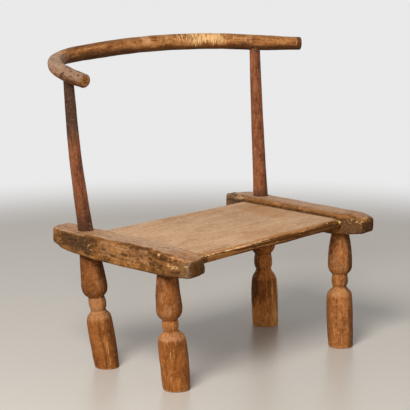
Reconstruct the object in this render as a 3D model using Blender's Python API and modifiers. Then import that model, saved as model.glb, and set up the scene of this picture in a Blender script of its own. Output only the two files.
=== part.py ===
"""Low carved chair: two boat-shaped rails, a plank seat, four carved legs and a bent back rail on two posts.

Metres. X runs across the seat, the front is at -Y and Z is up from the floor.
"""
import math

import bmesh
import bpy
from mathutils import Vector

# Clearance between neighbouring pieces, and how far a cutter runs past what it cuts
GAP = 0.0003
OVERRUN = 0.010

# Side rails: common sizes
RAIL_SPACING = 0.444
RAIL_TOP = 0.256
RAIL_WIDTH = 0.056
RAIL_EDGE = 0.004
UNDERSIDE_BELLY = 0.002

# Left rail: its middle lies behind the middle of the seat
LEFT_RAIL_LENGTH = 0.366
LEFT_RAIL_SHIFT = 0.0075
LEFT_RAIL_DEPTH = 0.0425
LEFT_FRONT_DROOP = 0.007
LEFT_FRONT_DEPTH = 0.0365
LEFT_FRONT_TAPER = 0.050
LEFT_REAR_DEPTH = 0.025
LEFT_REAR_TAPER = 0.116
LEFT_NOSE_LENGTH = 0.012
LEFT_NOSE_INSET = 0.004

# Right rail: slimmer, and set further forward
RIGHT_RAIL_LENGTH = 0.353
RIGHT_RAIL_SHIFT = -0.0205
RIGHT_RAIL_DEPTH = 0.0385
RIGHT_FRONT_DROOP = 0.004
RIGHT_FRONT_DEPTH = 0.0285
RIGHT_FRONT_TAPER = 0.070
RIGHT_REAR_DEPTH = 0.025
RIGHT_REAR_TAPER = 0.090
RIGHT_NOSE_LENGTH = 0.060
RIGHT_NOSE_INSET = 0.016

# Corners of the rails: hewn off at the outer rear, lightly at the inner ends
TAIL_LENGTH = 0.040
TAIL_INSET = 0.016
END_INSET = 0.007
END_SKEW = 0.008
END_LENGTH = 0.026

# Seat plank, its ends housed in grooves
SEAT_DROP = 0.007
SEAT_THICKNESS = 0.014
GROOVE_DEPTH = 0.009
SEAT_EDGE = 0.003
SEAT_FRONT_LEFT = -0.161
SEAT_FRONT_RIGHT = -0.147
SEAT_REAR_LEFT = 0.116
SEAT_REAR_RIGHT = 0.104

# Legs: where the axis meets the rail, measured from the rail's ends
LEFT_FRONT_LEG_SETBACK = 0.081
LEFT_REAR_LEG_SETBACK = 0.088
RIGHT_FRONT_LEG_SETBACK = 0.075
RIGHT_REAR_LEG_SETBACK = 0.079

# Legs: how far each foot stands across and behind the point where its axis meets the rail
FRONT_LEFT_LEAN = (0.013, -0.008)
REAR_LEFT_LEAN = (0.024, -0.018)
FRONT_RIGHT_LEAN = (-0.019, -0.022)
REAR_RIGHT_LEAN = (0.0, -0.011)

# Legs: the carved profile, heights above the floor
LEG_SIDES = 16
FOOT_RADIUS = 0.0235
SHOULDER_HEIGHT = 0.092
NECK_HEIGHT = 0.109
NECK_RADIUS = 0.0135
BULB_RISE = 0.020
BULB_RADIUS = 0.0230
BULB_HEEL_RADIUS = 0.0212
LEG_TOP_RADIUS = 0.0184
FRONT_LEFT_BARREL = 0.0258
REAR_LEFT_BARREL = 0.0234
FRONT_RIGHT_BARREL = 0.0249
REAR_RIGHT_BARREL = 0.0260
FRONT_LEFT_BEAD_TOP = 0.1260
REAR_LEFT_BEAD_TOP = 0.1335
FRONT_RIGHT_BEAD_TOP = 0.1385
REAR_RIGHT_BEAD_TOP = 0.1445
BEAD_RADIUS = 0.0155

# Round tenons of the legs: the front ones pass through the rail, the rear ones stop inside it
LEG_TENON_RADIUS = 0.014
LEG_TENON_PROUD = 0.0006
REAR_TENON_DEPTH = 0.017

# Back posts
LEFT_POST_SETBACK = 0.0735
RIGHT_POST_SETBACK = 0.070
LEFT_POST_INSET = 0.004
RIGHT_POST_INSET = -0.006
LEFT_POST_HEIGHT = 0.2714
RIGHT_POST_HEIGHT = 0.2909
LEFT_POST_LEAN = (-0.019, 0.021)
RIGHT_POST_LEAN = (0.008, 0.026)
LEFT_POST_BOW = 0.0055
RIGHT_POST_BOW = 0.001
POST_BASE_RADIUS = 0.0130
POST_TOP_RADIUS = 0.0094
POST_TENON_RADIUS = 0.009
POST_TENON_DEPTH = 0.019
TOP_TENON_RADIUS = 0.0065
TOP_TENON_RISE = 0.006

# Back rail: a bent branch, given by how far it bows behind the line between the two posts, and where along it
BACK_RADIUS = 0.0157
BACK_CROWN_RADIUS = 0.0152
BACK_BEND_RADIUS = 0.0139
BACK_LEFT_TIP_RADIUS = 0.0128
BACK_RIGHT_TIP_RADIUS = 0.0126
BACK_RISE = 0.13
BEND_BOW = 0.060
BEND_SHARE = 0.045
CORNER_BOW = 0.101
CORNER_SHARE = 0.150
CROWN_BOW = 0.106
CROWN_SHARE = 0.365
FLANK_BOW = 0.090
FLANK_SHARE = 0.660
SWEEP_BOW = 0.041
SWEEP_SHARE = 0.895
BEND_LIFT = -0.001
CORNER_LIFT = -0.002
RIGHT_TIP_LIFT = 0.0035
LEFT_ARM = (-0.007, -0.052)
RIGHT_ARM = (0.074, -0.056)
BACK_TIP_EDGE = 0.003

# Pins through the back rail into the tops of the posts
PIN_RADIUS = 0.0023
PIN_REACH = 0.009

SEAT_TOP = RAIL_TOP - SEAT_DROP
LEFT = -1
RIGHT = 1


def make_collection(name):
    """A new collection under the scene."""
    collection = bpy.data.collections.new(name)
    bpy.context.scene.collection.children.link(collection)
    return collection


for old in list(bpy.data.objects):
    bpy.data.objects.remove(old)
PARTS = make_collection("chiefs_stool")
CUTTERS = make_collection("chiefs_stool_cutters")
ASSEMBLY = bpy.data.objects.new("assembly", None)
bpy.context.scene.collection.objects.link(ASSEMBLY)


def make_material(name, colour, roughness):
    """A plain wood material."""
    material = bpy.data.materials.new(name)
    material.use_nodes = True
    shader = material.node_tree.nodes["Principled BSDF"]
    shader.inputs["Base Color"].default_value = (*colour, 1.0)
    shader.inputs["Roughness"].default_value = roughness
    shader.inputs["Metallic"].default_value = 0.0
    return material


def add_part(name, mesh, material):
    """A named piece of the chair."""
    piece = bpy.data.objects.new(name, mesh)
    PARTS.objects.link(piece)
    piece.parent = ASSEMBLY
    mesh.materials.clear()
    mesh.materials.append(material)
    return piece


def add_cutter(name, mesh):
    """A helper solid that only cuts or joins."""
    cutter = bpy.data.objects.new(name, mesh)
    CUTTERS.objects.link(cutter)
    cutter.parent = ASSEMBLY
    cutter.hide_render = True
    cutter.display_type = "WIRE"
    return cutter


def boolean(piece, cutter, operation):
    """Cut the piece with the cutter, or join the cutter to it."""
    step = piece.modifiers.new(cutter.name, "BOOLEAN")
    step.operation = operation
    step.object = cutter
    step.solver = "EXACT"


def bevel(piece, width, segments, angle=30.0):
    """Round the piece's edges that turn by more than an angle in degrees."""
    step = piece.modifiers.new("edge", "BEVEL")
    step.width = width
    step.segments = segments
    step.limit_method = "ANGLE"
    step.angle_limit = math.radians(angle)


def evaluated_mesh(source, name):
    """The source object's finished mesh, welded, with the source removed."""
    bpy.context.view_layer.update()
    graph = bpy.context.evaluated_depsgraph_get()
    mesh = bpy.data.meshes.new_from_object(source.evaluated_get(graph))
    mesh.name = name
    work = bmesh.new()
    work.from_mesh(mesh)
    bmesh.ops.remove_doubles(work, verts=work.verts, dist=0.00002)
    bmesh.ops.recalc_face_normals(work, faces=work.faces)
    work.to_mesh(mesh)
    work.free()
    bpy.data.objects.remove(source)
    return mesh


def outline_mesh(name, points, thickness):
    """A flat outline in XY, filled and thickened evenly about its plane."""
    curve = bpy.data.curves.new(name, "CURVE")
    curve.dimensions = "2D"
    curve.fill_mode = "BOTH"
    curve.extrude = 0.5 * thickness
    spline = curve.splines.new("POLY")
    spline.points.add(len(points) - 1)
    for target, (x, y) in zip(spline.points, points):
        target.co = (x, y, 0.0, 1.0)
    spline.use_cyclic_u = True
    source = bpy.data.objects.new(name, curve)
    CUTTERS.objects.link(source)
    return evaluated_mesh(source, name)


def tube_mesh(name, points, radii, sides, steps):
    """A round bar along a smooth curve through the points, with its own radius at each."""
    curve = bpy.data.curves.new(name, "CURVE")
    curve.dimensions = "3D"
    curve.bevel_depth = 1.0
    curve.bevel_resolution = sides
    curve.resolution_u = steps
    curve.use_fill_caps = True
    spline = curve.splines.new("BEZIER")
    spline.bezier_points.add(len(points) - 1)
    for target, point, radius in zip(spline.bezier_points, points, radii):
        target.co = point
        target.radius = radius
        target.handle_left_type = "AUTO"
        target.handle_right_type = "AUTO"
    source = bpy.data.objects.new(name, curve)
    CUTTERS.objects.link(source)
    mesh = evaluated_mesh(source, name)
    mesh.shade_smooth()
    mesh.set_sharp_from_angle(angle=math.radians(40.0))
    return mesh


def bar_mesh(name, start, end, radius, sides=24):
    """A straight round bar between two points."""
    axis = end - start
    work = bmesh.new()
    bmesh.ops.create_cone(work, cap_ends=True, segments=sides, radius1=radius, radius2=radius, depth=axis.length)
    bmesh.ops.rotate(work, verts=work.verts, matrix=axis.to_track_quat("Z", "Y").to_matrix())
    bmesh.ops.translate(work, verts=work.verts, vec=0.5 * (start + end))
    mesh = bpy.data.meshes.new(name)
    work.to_mesh(mesh)
    work.free()
    mesh.shade_smooth()
    mesh.set_sharp_from_angle(angle=math.radians(40.0))
    return mesh


# Rails: a side outline and a plan outline, crossed and rounded, then grooved and bored


class Rail:
    """The sizes of one side rail and the points that its neighbours need."""

    def __init__(self, side, length, shift, depth, droop, front_depth, front_taper, rear_depth, rear_taper, nose, inset):
        self.side = side
        self.axis = side * 0.5 * RAIL_SPACING
        self.front = shift - 0.5 * length
        self.rear = shift + 0.5 * length
        self.length = length
        self.depth = depth
        self.droop = droop
        self.front_depth = front_depth
        self.front_taper = front_taper
        self.rear_depth = rear_depth
        self.rear_taper = rear_taper
        self.nose = nose
        self.inset = inset

    def side_outline(self):
        """The rail from the side, as (y, z): a flat top that droops in front, a boat-shaped underside."""
        top = RAIL_TOP
        return [
            (self.front, top - self.droop),
            (self.front, top - self.front_depth),
            (self.front + self.front_taper, top - self.depth),
            (self.rear - self.rear_taper, top - self.depth),
            (self.rear - 0.5 * self.rear_taper, top - 0.5 * (self.depth + self.rear_depth) - UNDERSIDE_BELLY),
            (self.rear, top - self.rear_depth),
            (self.rear, top - RAIL_EDGE),
            (self.rear - TAIL_LENGTH * 0.5, top),
            (self.front + 0.3 * self.length, top),
        ]

    def plan_outline(self):
        """The rail from above, as (x, y), with its outer corners hewn off."""
        half = 0.5 * RAIL_WIDTH
        points = [
            (-half, self.rear - END_INSET),
            (-half, self.front + END_SKEW + END_LENGTH),
            (-half + END_INSET, self.front + END_SKEW),
            (0.0, self.front + END_SKEW * 0.3),
            (half - self.inset, self.front),
            (half, self.front + self.nose),
            (half, self.rear - TAIL_LENGTH),
            (half - 0.6 * TAIL_INSET, self.rear - 0.25 * TAIL_LENGTH),
            (half - 2.0 * TAIL_INSET, self.rear),
            (-half + END_INSET, self.rear),
        ]
        return [(self.axis + self.side * x, y) for x, y in points]

    def blank(self, name):
        """The rail before any joint is cut in it."""
        upright = outline_mesh(name + "_side", self.side_outline(), RAIL_WIDTH + 2.0 * OVERRUN)
        body = bpy.data.objects.new(name + "_blank", upright)
        CUTTERS.objects.link(body)
        body.rotation_euler = (math.radians(90.0), 0.0, math.radians(90.0))
        body.location = (self.axis, 0.0, 0.0)
        flat = outline_mesh(name + "_plan", self.plan_outline(), 2.0 * (RAIL_TOP + OVERRUN))
        crossing = add_cutter(name + "_plan", flat)
        boolean(body, crossing, "INTERSECT")
        bevel(body, RAIL_EDGE, 2)
        turn = body.rotation_euler.to_matrix().to_4x4()
        place = body.location.copy()
        mesh = evaluated_mesh(body, name)
        mesh.transform(turn)
        for vertex in mesh.vertices:
            vertex.co += place
        bpy.data.objects.remove(crossing)
        return mesh

    def underside(self, y):
        """Height of the rail's underside on its axis."""
        from_rear = self.rear - y
        if from_rear >= self.rear_taper:
            return RAIL_TOP - self.depth
        share = from_rear / self.rear_taper
        belly = UNDERSIDE_BELLY * (1.0 - abs(2.0 * share - 1.0))
        return RAIL_TOP - self.rear_depth - share * (self.depth - self.rear_depth) - belly


LEFT_RAIL = Rail(
    LEFT, LEFT_RAIL_LENGTH, LEFT_RAIL_SHIFT, LEFT_RAIL_DEPTH, LEFT_FRONT_DROOP, LEFT_FRONT_DEPTH,
    LEFT_FRONT_TAPER, LEFT_REAR_DEPTH, LEFT_REAR_TAPER, LEFT_NOSE_LENGTH, LEFT_NOSE_INSET,
)
RIGHT_RAIL = Rail(
    RIGHT, RIGHT_RAIL_LENGTH, RIGHT_RAIL_SHIFT, RIGHT_RAIL_DEPTH, RIGHT_FRONT_DROOP, RIGHT_FRONT_DEPTH,
    RIGHT_FRONT_TAPER, RIGHT_REAR_DEPTH, RIGHT_REAR_TAPER, RIGHT_NOSE_LENGTH, RIGHT_NOSE_INSET,
)


def make_rail(name, rail, material):
    """The rail, and two copies of its blank that its neighbours are scribed to."""
    blank = rail.blank(name)
    piece = add_part(name, blank, material)
    below = add_cutter(name + "_below", blank.copy())
    below.location.z = -GAP
    above = add_cutter(name + "_above", blank.copy())
    above.location.z = GAP
    return piece, below, above


rail_wood = make_material("rail_wood", (0.23, 0.11, 0.045), 0.55)
left_rail, left_below, left_above = make_rail("left_rail", LEFT_RAIL, rail_wood)
right_rail, right_below, right_above = make_rail("right_rail", RIGHT_RAIL, rail_wood)


# Seat: a plank whose ends slide into a groove in each rail


def seat_mesh(name, grow):
    """The plank, grown on all sides by a clearance."""
    end = 0.5 * RAIL_SPACING - 0.5 * RAIL_WIDTH + GROOVE_DEPTH + grow
    corners = [
        (-end, SEAT_FRONT_LEFT - grow),
        (end, SEAT_FRONT_RIGHT - grow),
        (end, SEAT_REAR_RIGHT + grow),
        (-end, SEAT_REAR_LEFT + grow),
    ]
    return outline_mesh(name, corners, SEAT_THICKNESS + 2.0 * grow)


seat_wood = make_material("seat_wood", (0.45, 0.28, 0.15), 0.6)
seat_board = add_part("seat_board", seat_mesh("seat_board", 0.0), seat_wood)
seat_board.location.z = SEAT_TOP - 0.5 * SEAT_THICKNESS
bevel(seat_board, SEAT_EDGE, 2)
groove = add_cutter("seat_groove", seat_mesh("seat_groove", GAP))
groove.location.z = SEAT_TOP - 0.5 * SEAT_THICKNESS
boolean(left_rail, groove, "DIFFERENCE")
boolean(right_rail, groove, "DIFFERENCE")


# Legs: a carved profile turned about a leaning axis, scribed to the rail, with a round tenon


def leg_profile(barrel, bead_top, top):
    """Radius and height down the outside of a leg, from its top to below the floor."""
    bulb = bead_top + BULB_RISE
    bead = bead_top - NECK_HEIGHT
    return [
        (0.0, top),
        (LEG_TOP_RADIUS, top),
        (0.5 * (LEG_TOP_RADIUS + BULB_RADIUS), 0.5 * (top + bulb)),
        (BULB_RADIUS, bulb),
        (BULB_HEEL_RADIUS, bead_top + 0.48 * BULB_RISE),
        (0.45 * NECK_RADIUS + 0.55 * BULB_HEEL_RADIUS, bead_top + 0.2 * BULB_RISE),
        (NECK_RADIUS, bead_top),
        (BEAD_RADIUS, NECK_HEIGHT + 0.7 * bead),
        (BEAD_RADIUS, NECK_HEIGHT + 0.35 * bead),
        (NECK_RADIUS, NECK_HEIGHT),
        (0.3 * NECK_RADIUS + 0.7 * barrel, 0.5 * (NECK_HEIGHT + SHOULDER_HEIGHT)),
        (0.97 * barrel, SHOULDER_HEIGHT),
        (barrel, 0.75 * SHOULDER_HEIGHT),
        (0.5 * (barrel + FOOT_RADIUS), 0.3 * SHOULDER_HEIGHT),
        (FOOT_RADIUS, -OVERRUN),
        (0.0, -OVERRUN),
    ]


def leg_mesh(name, profile):
    """The profile turned into a closed solid about the Z axis."""
    outline = bpy.data.meshes.new(name + "_profile")
    work = bmesh.new()
    points = [work.verts.new((radius, 0.0, height)) for radius, height in profile]
    for upper, lower in zip(points, points[1:]):
        work.edges.new((upper, lower))
    work.to_mesh(outline)
    work.free()
    source = bpy.data.objects.new(name + "_profile", outline)
    CUTTERS.objects.link(source)
    screw = source.modifiers.new("turn", "SCREW")
    screw.steps = LEG_SIDES
    screw.render_steps = LEG_SIDES
    screw.use_merge_vertices = True
    screw.merge_threshold = 0.00001
    mesh = evaluated_mesh(source, name)
    mesh.shade_smooth()
    mesh.set_sharp_from_angle(angle=math.radians(35.0))
    return mesh


def make_leg(name, rail, rail_piece, scribe, y, lean, barrel, bead_top, through, material):
    """One leg and the mortise that it needs."""
    seat = Vector((rail.axis, y, rail.underside(y)))
    foot = Vector((seat.x + lean[0], seat.y + lean[1], 0.0))
    axis = (seat - foot).normalized()
    reach = (seat - foot).length + 0.5 * OVERRUN
    leg = add_part(name, leg_mesh(name, leg_profile(barrel, bead_top, reach)), material)
    leg.location = foot
    leg.rotation_euler = axis.to_track_quat("Z", "Y").to_euler()
    floor = add_cutter(name + "_floor", bpy.data.meshes.new(name + "_floor"))
    work = bmesh.new()
    bmesh.ops.create_cube(work, size=4.0 * barrel)
    bmesh.ops.translate(work, verts=work.verts, vec=(foot.x, foot.y, -2.0 * barrel))
    work.to_mesh(floor.data)
    work.free()
    boolean(leg, floor, "DIFFERENCE")
    boolean(leg, scribe, "DIFFERENCE")
    if through:
        top = foot + axis * ((RAIL_TOP - foot.z) / axis.z + LEG_TENON_PROUD)
        bored = top + axis * OVERRUN
    else:
        top = seat + axis * REAR_TENON_DEPTH
        bored = top + axis * GAP
    root = seat - axis * 2.0 * OVERRUN
    tenon = add_cutter(name + "_tenon", bar_mesh(name + "_tenon", root, top, LEG_TENON_RADIUS))
    boolean(leg, tenon, "UNION")
    mortise = add_cutter(name + "_mortise", bar_mesh(name + "_mortise", root, bored, LEG_TENON_RADIUS + GAP))
    boolean(rail_piece, mortise, "DIFFERENCE")
    return leg


leg_wood = make_material("leg_wood", (0.26, 0.10, 0.04), 0.42)
make_leg(
    "front_left_leg", LEFT_RAIL, left_rail, left_below, LEFT_RAIL.front + LEFT_FRONT_LEG_SETBACK,
    FRONT_LEFT_LEAN, FRONT_LEFT_BARREL, FRONT_LEFT_BEAD_TOP, True, leg_wood,
)
make_leg(
    "rear_left_leg", LEFT_RAIL, left_rail, left_below, LEFT_RAIL.rear - LEFT_REAR_LEG_SETBACK,
    REAR_LEFT_LEAN, REAR_LEFT_BARREL, REAR_LEFT_BEAD_TOP, False, leg_wood,
)
make_leg(
    "front_right_leg", RIGHT_RAIL, right_rail, right_below, RIGHT_RAIL.front + RIGHT_FRONT_LEG_SETBACK,
    FRONT_RIGHT_LEAN, FRONT_RIGHT_BARREL, FRONT_RIGHT_BEAD_TOP, True, leg_wood,
)
make_leg(
    "rear_right_leg", RIGHT_RAIL, right_rail, right_below, RIGHT_RAIL.rear - RIGHT_REAR_LEG_SETBACK,
    REAR_RIGHT_LEAN, REAR_RIGHT_BARREL, REAR_RIGHT_BEAD_TOP, False, leg_wood,
)


# Posts: where each stands on its rail, and where its axis meets the axis of the back rail


def post_ends(rail, setback, inset, height, lean):
    """The foot of a post on the rail, and the crossing of its axis with the back rail's."""
    base = Vector((rail.axis - rail.side * inset, rail.rear - setback, RAIL_TOP))
    crossing = base + Vector((lean[0], lean[1], height + BACK_BEND_RADIUS))
    return base, crossing


left_base, left_crossing = post_ends(
    LEFT_RAIL, LEFT_POST_SETBACK, LEFT_POST_INSET, LEFT_POST_HEIGHT, LEFT_POST_LEAN,
)
right_base, right_crossing = post_ends(
    RIGHT_RAIL, RIGHT_POST_SETBACK, RIGHT_POST_INSET, RIGHT_POST_HEIGHT, RIGHT_POST_LEAN,
)


# Back rail: a branch through both crossings, bowed out behind them, with an arm past each post


def branch_point(share, bow, lift):
    """A point a share of the way between the crossings, moved back by the bow and up with it."""
    point = left_crossing.lerp(right_crossing, share)
    return point + Vector((0.0, bow, bow * BACK_RISE + lift))


def arm_tip(crossing, arm, lift):
    """The end of an arm that runs forward from a crossing."""
    return crossing + Vector((arm[0], arm[1], arm[1] * BACK_RISE + lift))


branch = [
    arm_tip(left_crossing, LEFT_ARM, 0.0),
    left_crossing,
    branch_point(BEND_SHARE, BEND_BOW, BEND_LIFT),
    branch_point(CORNER_SHARE, CORNER_BOW, CORNER_LIFT),
    branch_point(CROWN_SHARE, CROWN_BOW, 0.0),
    branch_point(FLANK_SHARE, FLANK_BOW, 0.0),
    branch_point(SWEEP_SHARE, SWEEP_BOW, 0.0),
    right_crossing,
    arm_tip(right_crossing, RIGHT_ARM, RIGHT_TIP_LIFT),
]
branch_radii = [
    BACK_LEFT_TIP_RADIUS,
    BACK_BEND_RADIUS,
    BACK_BEND_RADIUS,
    BACK_BEND_RADIUS,
    BACK_CROWN_RADIUS,
    BACK_RADIUS,
    BACK_RADIUS,
    BACK_CROWN_RADIUS,
    BACK_RIGHT_TIP_RADIUS,
]
back_wood = make_material("back_wood", (0.34, 0.18, 0.065), 0.4)
back_rail = add_part("back_rail", tube_mesh("back_rail", branch, branch_radii, 2, 6), back_wood)
bevel(back_rail, BACK_TIP_EDGE, 2, 60.0)
saddle_radii = [radius + GAP for radius in branch_radii]
saddle = add_cutter("back_rail_saddle", tube_mesh("back_rail_saddle", branch, saddle_radii, 2, 6))


def make_post(name, rail_piece, scribe, base, crossing, bow, material):
    """One post with a tenon at each end, and the two mortises that it needs."""
    axis = (crossing - base).normalized()
    middle = base.lerp(crossing, 0.5) + Vector((0.0, bow, 0.0))
    points = [base - axis * OVERRUN, middle, crossing]
    radii = [POST_BASE_RADIUS, 0.5 * (POST_BASE_RADIUS + POST_TOP_RADIUS), POST_TOP_RADIUS]
    post = add_part(name, tube_mesh(name, points, radii, 2, 6), material)
    boolean(post, scribe, "DIFFERENCE")
    boolean(post, saddle, "DIFFERENCE")
    inside = base + axis * OVERRUN
    lower_end = base - axis * POST_TENON_DEPTH
    upper_end = crossing + axis * TOP_TENON_RISE
    below = crossing + (middle - crossing).normalized() * (BACK_RADIUS + OVERRUN)
    lower = add_cutter(name + "_foot_tenon", bar_mesh(name + "_foot_tenon", inside, lower_end, POST_TENON_RADIUS))
    upper = add_cutter(name + "_top_tenon", bar_mesh(name + "_top_tenon", below, upper_end, TOP_TENON_RADIUS))
    boolean(post, lower, "UNION")
    boolean(post, upper, "UNION")
    clear = POST_TENON_RADIUS + GAP
    socket = bar_mesh(name + "_foot_mortise", inside, lower_end - axis * GAP, clear)
    boolean(rail_piece, add_cutter(name + "_foot_mortise", socket), "DIFFERENCE")
    clear = TOP_TENON_RADIUS + GAP
    socket = bar_mesh(name + "_top_mortise", below, upper_end + axis * GAP, clear)
    boolean(back_rail, add_cutter(name + "_top_mortise", socket), "DIFFERENCE")
    return post


def make_pin(name, post, crossing, radius, before, after, material):
    """A pin across the back rail and the post's top tenon, driven from the outer side."""
    along = (after - before).normalized()
    outward = along.cross(Vector((0.0, 0.0, 1.0))).normalized()
    if outward.y < 0.0:
        outward = -outward
    head = crossing + outward * (radius - GAP)
    point = crossing - outward * PIN_REACH
    pin = add_part(name, bar_mesh(name, point, head, PIN_RADIUS, 12), material)
    bore = bar_mesh(name + "_bore", point - outward * GAP, head + outward * OVERRUN, PIN_RADIUS + GAP, 12)
    cutter = add_cutter(name + "_bore", bore)
    boolean(post, cutter, "DIFFERENCE")
    boolean(back_rail, cutter, "DIFFERENCE")
    return pin


post_wood = make_material("post_wood", (0.13, 0.045, 0.02), 0.38)
pin_wood = make_material("pin_wood", (0.06, 0.03, 0.018), 0.6)
left_post = make_post("left_post", left_rail, left_above, left_base, left_crossing, LEFT_POST_BOW, post_wood)
right_post = make_post("right_post", right_rail, right_above, right_base, right_crossing, RIGHT_POST_BOW, post_wood)
make_pin("left_pin", left_post, left_crossing, BACK_BEND_RADIUS, branch[0], branch[2], pin_wood)
make_pin("right_pin", right_post, right_crossing, BACK_CROWN_RADIUS, branch[-3], branch[-1], pin_wood)


# The whole chair stands with the middle of its footprint at the origin
bpy.context.view_layer.update()
graph = bpy.context.evaluated_depsgraph_get()
corners = []
for piece in PARTS.objects:
    solid = piece.evaluated_get(graph)
    corners.extend(solid.matrix_world @ vertex.co for vertex in solid.data.vertices)
low = Vector([min(corner[axis] for corner in corners) for axis in range(3)])
high = Vector([max(corner[axis] for corner in corners) for axis in range(3)])
ASSEMBLY.location = (-0.5 * (low.x + high.x), -0.5 * (low.y + high.y), -low.z)
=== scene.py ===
"""Low carved chair, dressed: a plank seat between two hewn rails, carved legs, posts and a bent branch.

Metres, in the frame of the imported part: X runs across the seat, the front is at -Y, Z is up from the floor.
"""
import math

import bpy
import numpy as np
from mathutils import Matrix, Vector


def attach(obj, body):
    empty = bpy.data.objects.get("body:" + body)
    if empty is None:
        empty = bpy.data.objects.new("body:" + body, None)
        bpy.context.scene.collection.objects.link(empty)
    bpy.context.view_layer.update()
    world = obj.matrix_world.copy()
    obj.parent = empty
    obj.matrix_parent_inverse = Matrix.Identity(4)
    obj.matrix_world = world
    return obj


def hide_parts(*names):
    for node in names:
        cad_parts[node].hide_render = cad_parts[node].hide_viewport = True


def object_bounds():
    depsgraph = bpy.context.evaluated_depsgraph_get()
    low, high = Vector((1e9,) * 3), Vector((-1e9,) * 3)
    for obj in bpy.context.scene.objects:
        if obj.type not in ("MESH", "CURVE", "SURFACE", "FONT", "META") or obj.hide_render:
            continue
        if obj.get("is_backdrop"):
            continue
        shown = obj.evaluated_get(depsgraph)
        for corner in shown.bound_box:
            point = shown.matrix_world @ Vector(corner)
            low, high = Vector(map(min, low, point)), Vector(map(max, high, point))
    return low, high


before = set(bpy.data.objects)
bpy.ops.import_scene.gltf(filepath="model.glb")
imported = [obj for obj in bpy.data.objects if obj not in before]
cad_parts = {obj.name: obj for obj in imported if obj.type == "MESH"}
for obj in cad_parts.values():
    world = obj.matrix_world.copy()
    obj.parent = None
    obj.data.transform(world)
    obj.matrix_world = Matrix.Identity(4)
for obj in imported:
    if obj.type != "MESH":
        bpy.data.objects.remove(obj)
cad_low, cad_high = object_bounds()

# Side rails. Two thick baulks of dense brown hardwood, hewn to a boat shape with an adze, dark from handling.
# Each is grooved along its inner face for the seat plank, and bored for two legs below and a post above.

RAIL_TOP = 0.256
RAIL_HALF_WIDTH = 0.028
UNDERSIDE_BELLY = 0.002
END_INSET = 0.007
FRONT_SLANT = 0.0266
REAR_SLANT = 0.031
REAR_HALF_WIDTH = 0.0184
FALL_SHARE = 0.3
WEAR_LOW = 0.230
WEAR_HIGH = 0.247
GROOVE_DEPTH = 0.0093
GROOVE_LOW = 0.2347
GROOVE_HIGH = 0.2493
RAIL_BODY_ROWS = 300
# Columns round a rail: top, outer top edge, outer face, outer low edge, underside, inner low edge,
# inner face and inner top edge
RAIL_COLUMNS = (48, 16, 42, 10, 40, 8, 40, 14)
# The columns of its inner face that lie in the groove
GROOVE_COLUMNS = (11, 31)
LATTICE_KEYS = np.array([73856093, 19349663, 83492791])
WORD = 0xFFFFFFFF
SEED_STEP = 40503
SCRAMBLE = 73244475


def lattice_noise(points, pitch, seed):
    """Smooth lumps from -1 to 1: hashed numbers on a lattice of that pitch, blended by smoothstep."""
    scaled = points / np.asarray(pitch, float)
    cell = np.floor(scaled).astype(np.int64)
    share = scaled - cell
    share = share * share * (3.0 - 2.0 * share)
    total = np.zeros(points.shape[:-1])
    for corner in range(8):
        step = np.array([corner & 1, corner >> 1 & 1, corner >> 2 & 1])
        key = ((cell + step) @ LATTICE_KEYS + seed * SEED_STEP) & WORD
        key = ((key ^ (key >> 15)) * SCRAMBLE) & WORD
        key = ((key ^ (key >> 13)) * SCRAMBLE) & WORD
        value = ((key ^ (key >> 16)) & 0xFFFF) / 32767.5 - 1.0
        total += value * np.prod(np.where(step, share, 1.0 - share), axis=-1)
    return total


def cloud(points, pitch, seed, octaves=3):
    """Lumps of ever finer pitch: each octave has half the pitch and half the height of the one before."""
    pitch = np.asarray(pitch, float)
    layers = [0.5**k * lattice_noise(points, pitch * 0.5**k, seed + 17 * k) for k in range(octaves)]
    return sum(layers) / (2.0 - 2.0 * 0.5**octaves)


def ease(start, end, value):
    """Smoothstep: 0 at the start and before it, 1 at the end and past it."""
    share = np.clip((value - start) / (end - start), 0.0, 1.0)
    return share * share * (3.0 - 2.0 * share)


def plateau(foot, full, last, end, value):
    """0 up to the foot, 1 from full to last and 0 again from the end on, with a smoothstep at each side."""
    return ease(foot, full, value) * ease(end, last, value)


def blot(points, centre, reach, seed, ragged=0.35):
    """A soft spot: 1 about its centre and 0 past its reach each way, with a rim made ragged by lumps."""
    reach = np.asarray(reach, float)
    away = np.linalg.norm((points - np.asarray(centre)) / reach, axis=-1)
    return ease(1.0, 0.5, away + ragged * cloud(points, 0.6 * np.sort(reach)[1], seed, 3))


def outward(grid):
    """Unit normals of a grid closed round its columns: the cross product of its steps across and along."""
    across = np.roll(grid, -1, axis=1) - np.roll(grid, 1, axis=1)
    along = np.gradient(grid, axis=0)
    normal = np.cross(across, along)
    return normal / np.maximum(np.linalg.norm(normal, axis=-1, keepdims=True), 1e-12)


def bend(grid, normal, reach):
    """Mean curvature in 1/m over a reach of so many steps: above 0 on crests, below 0 in hollows."""
    rows = np.arange(len(grid))
    ahead = grid[np.clip(rows + reach, 0, len(grid) - 1)]
    behind = grid[np.clip(rows - reach, 0, len(grid) - 1)]
    sides = np.roll(grid, reach, axis=1), np.roll(grid, -reach, axis=1)
    total = np.zeros(grid.shape[:2])
    for one, other in ((ahead, behind), sides):
        stand = np.sum((2.0 * grid - one - other) * normal, axis=-1)
        span = np.sum((one - other) ** 2, axis=-1)
        total += 4.0 * stand / np.maximum(span, 1e-9)
    return total


# Each mark carries a real cause and painted light or shade together: wear and painted light, grime and
# painted shade, pale new wood and painted glints, weathering and painted sheen.
MARKS = ("rubbed", "soiled", "bare", "grey")


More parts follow.
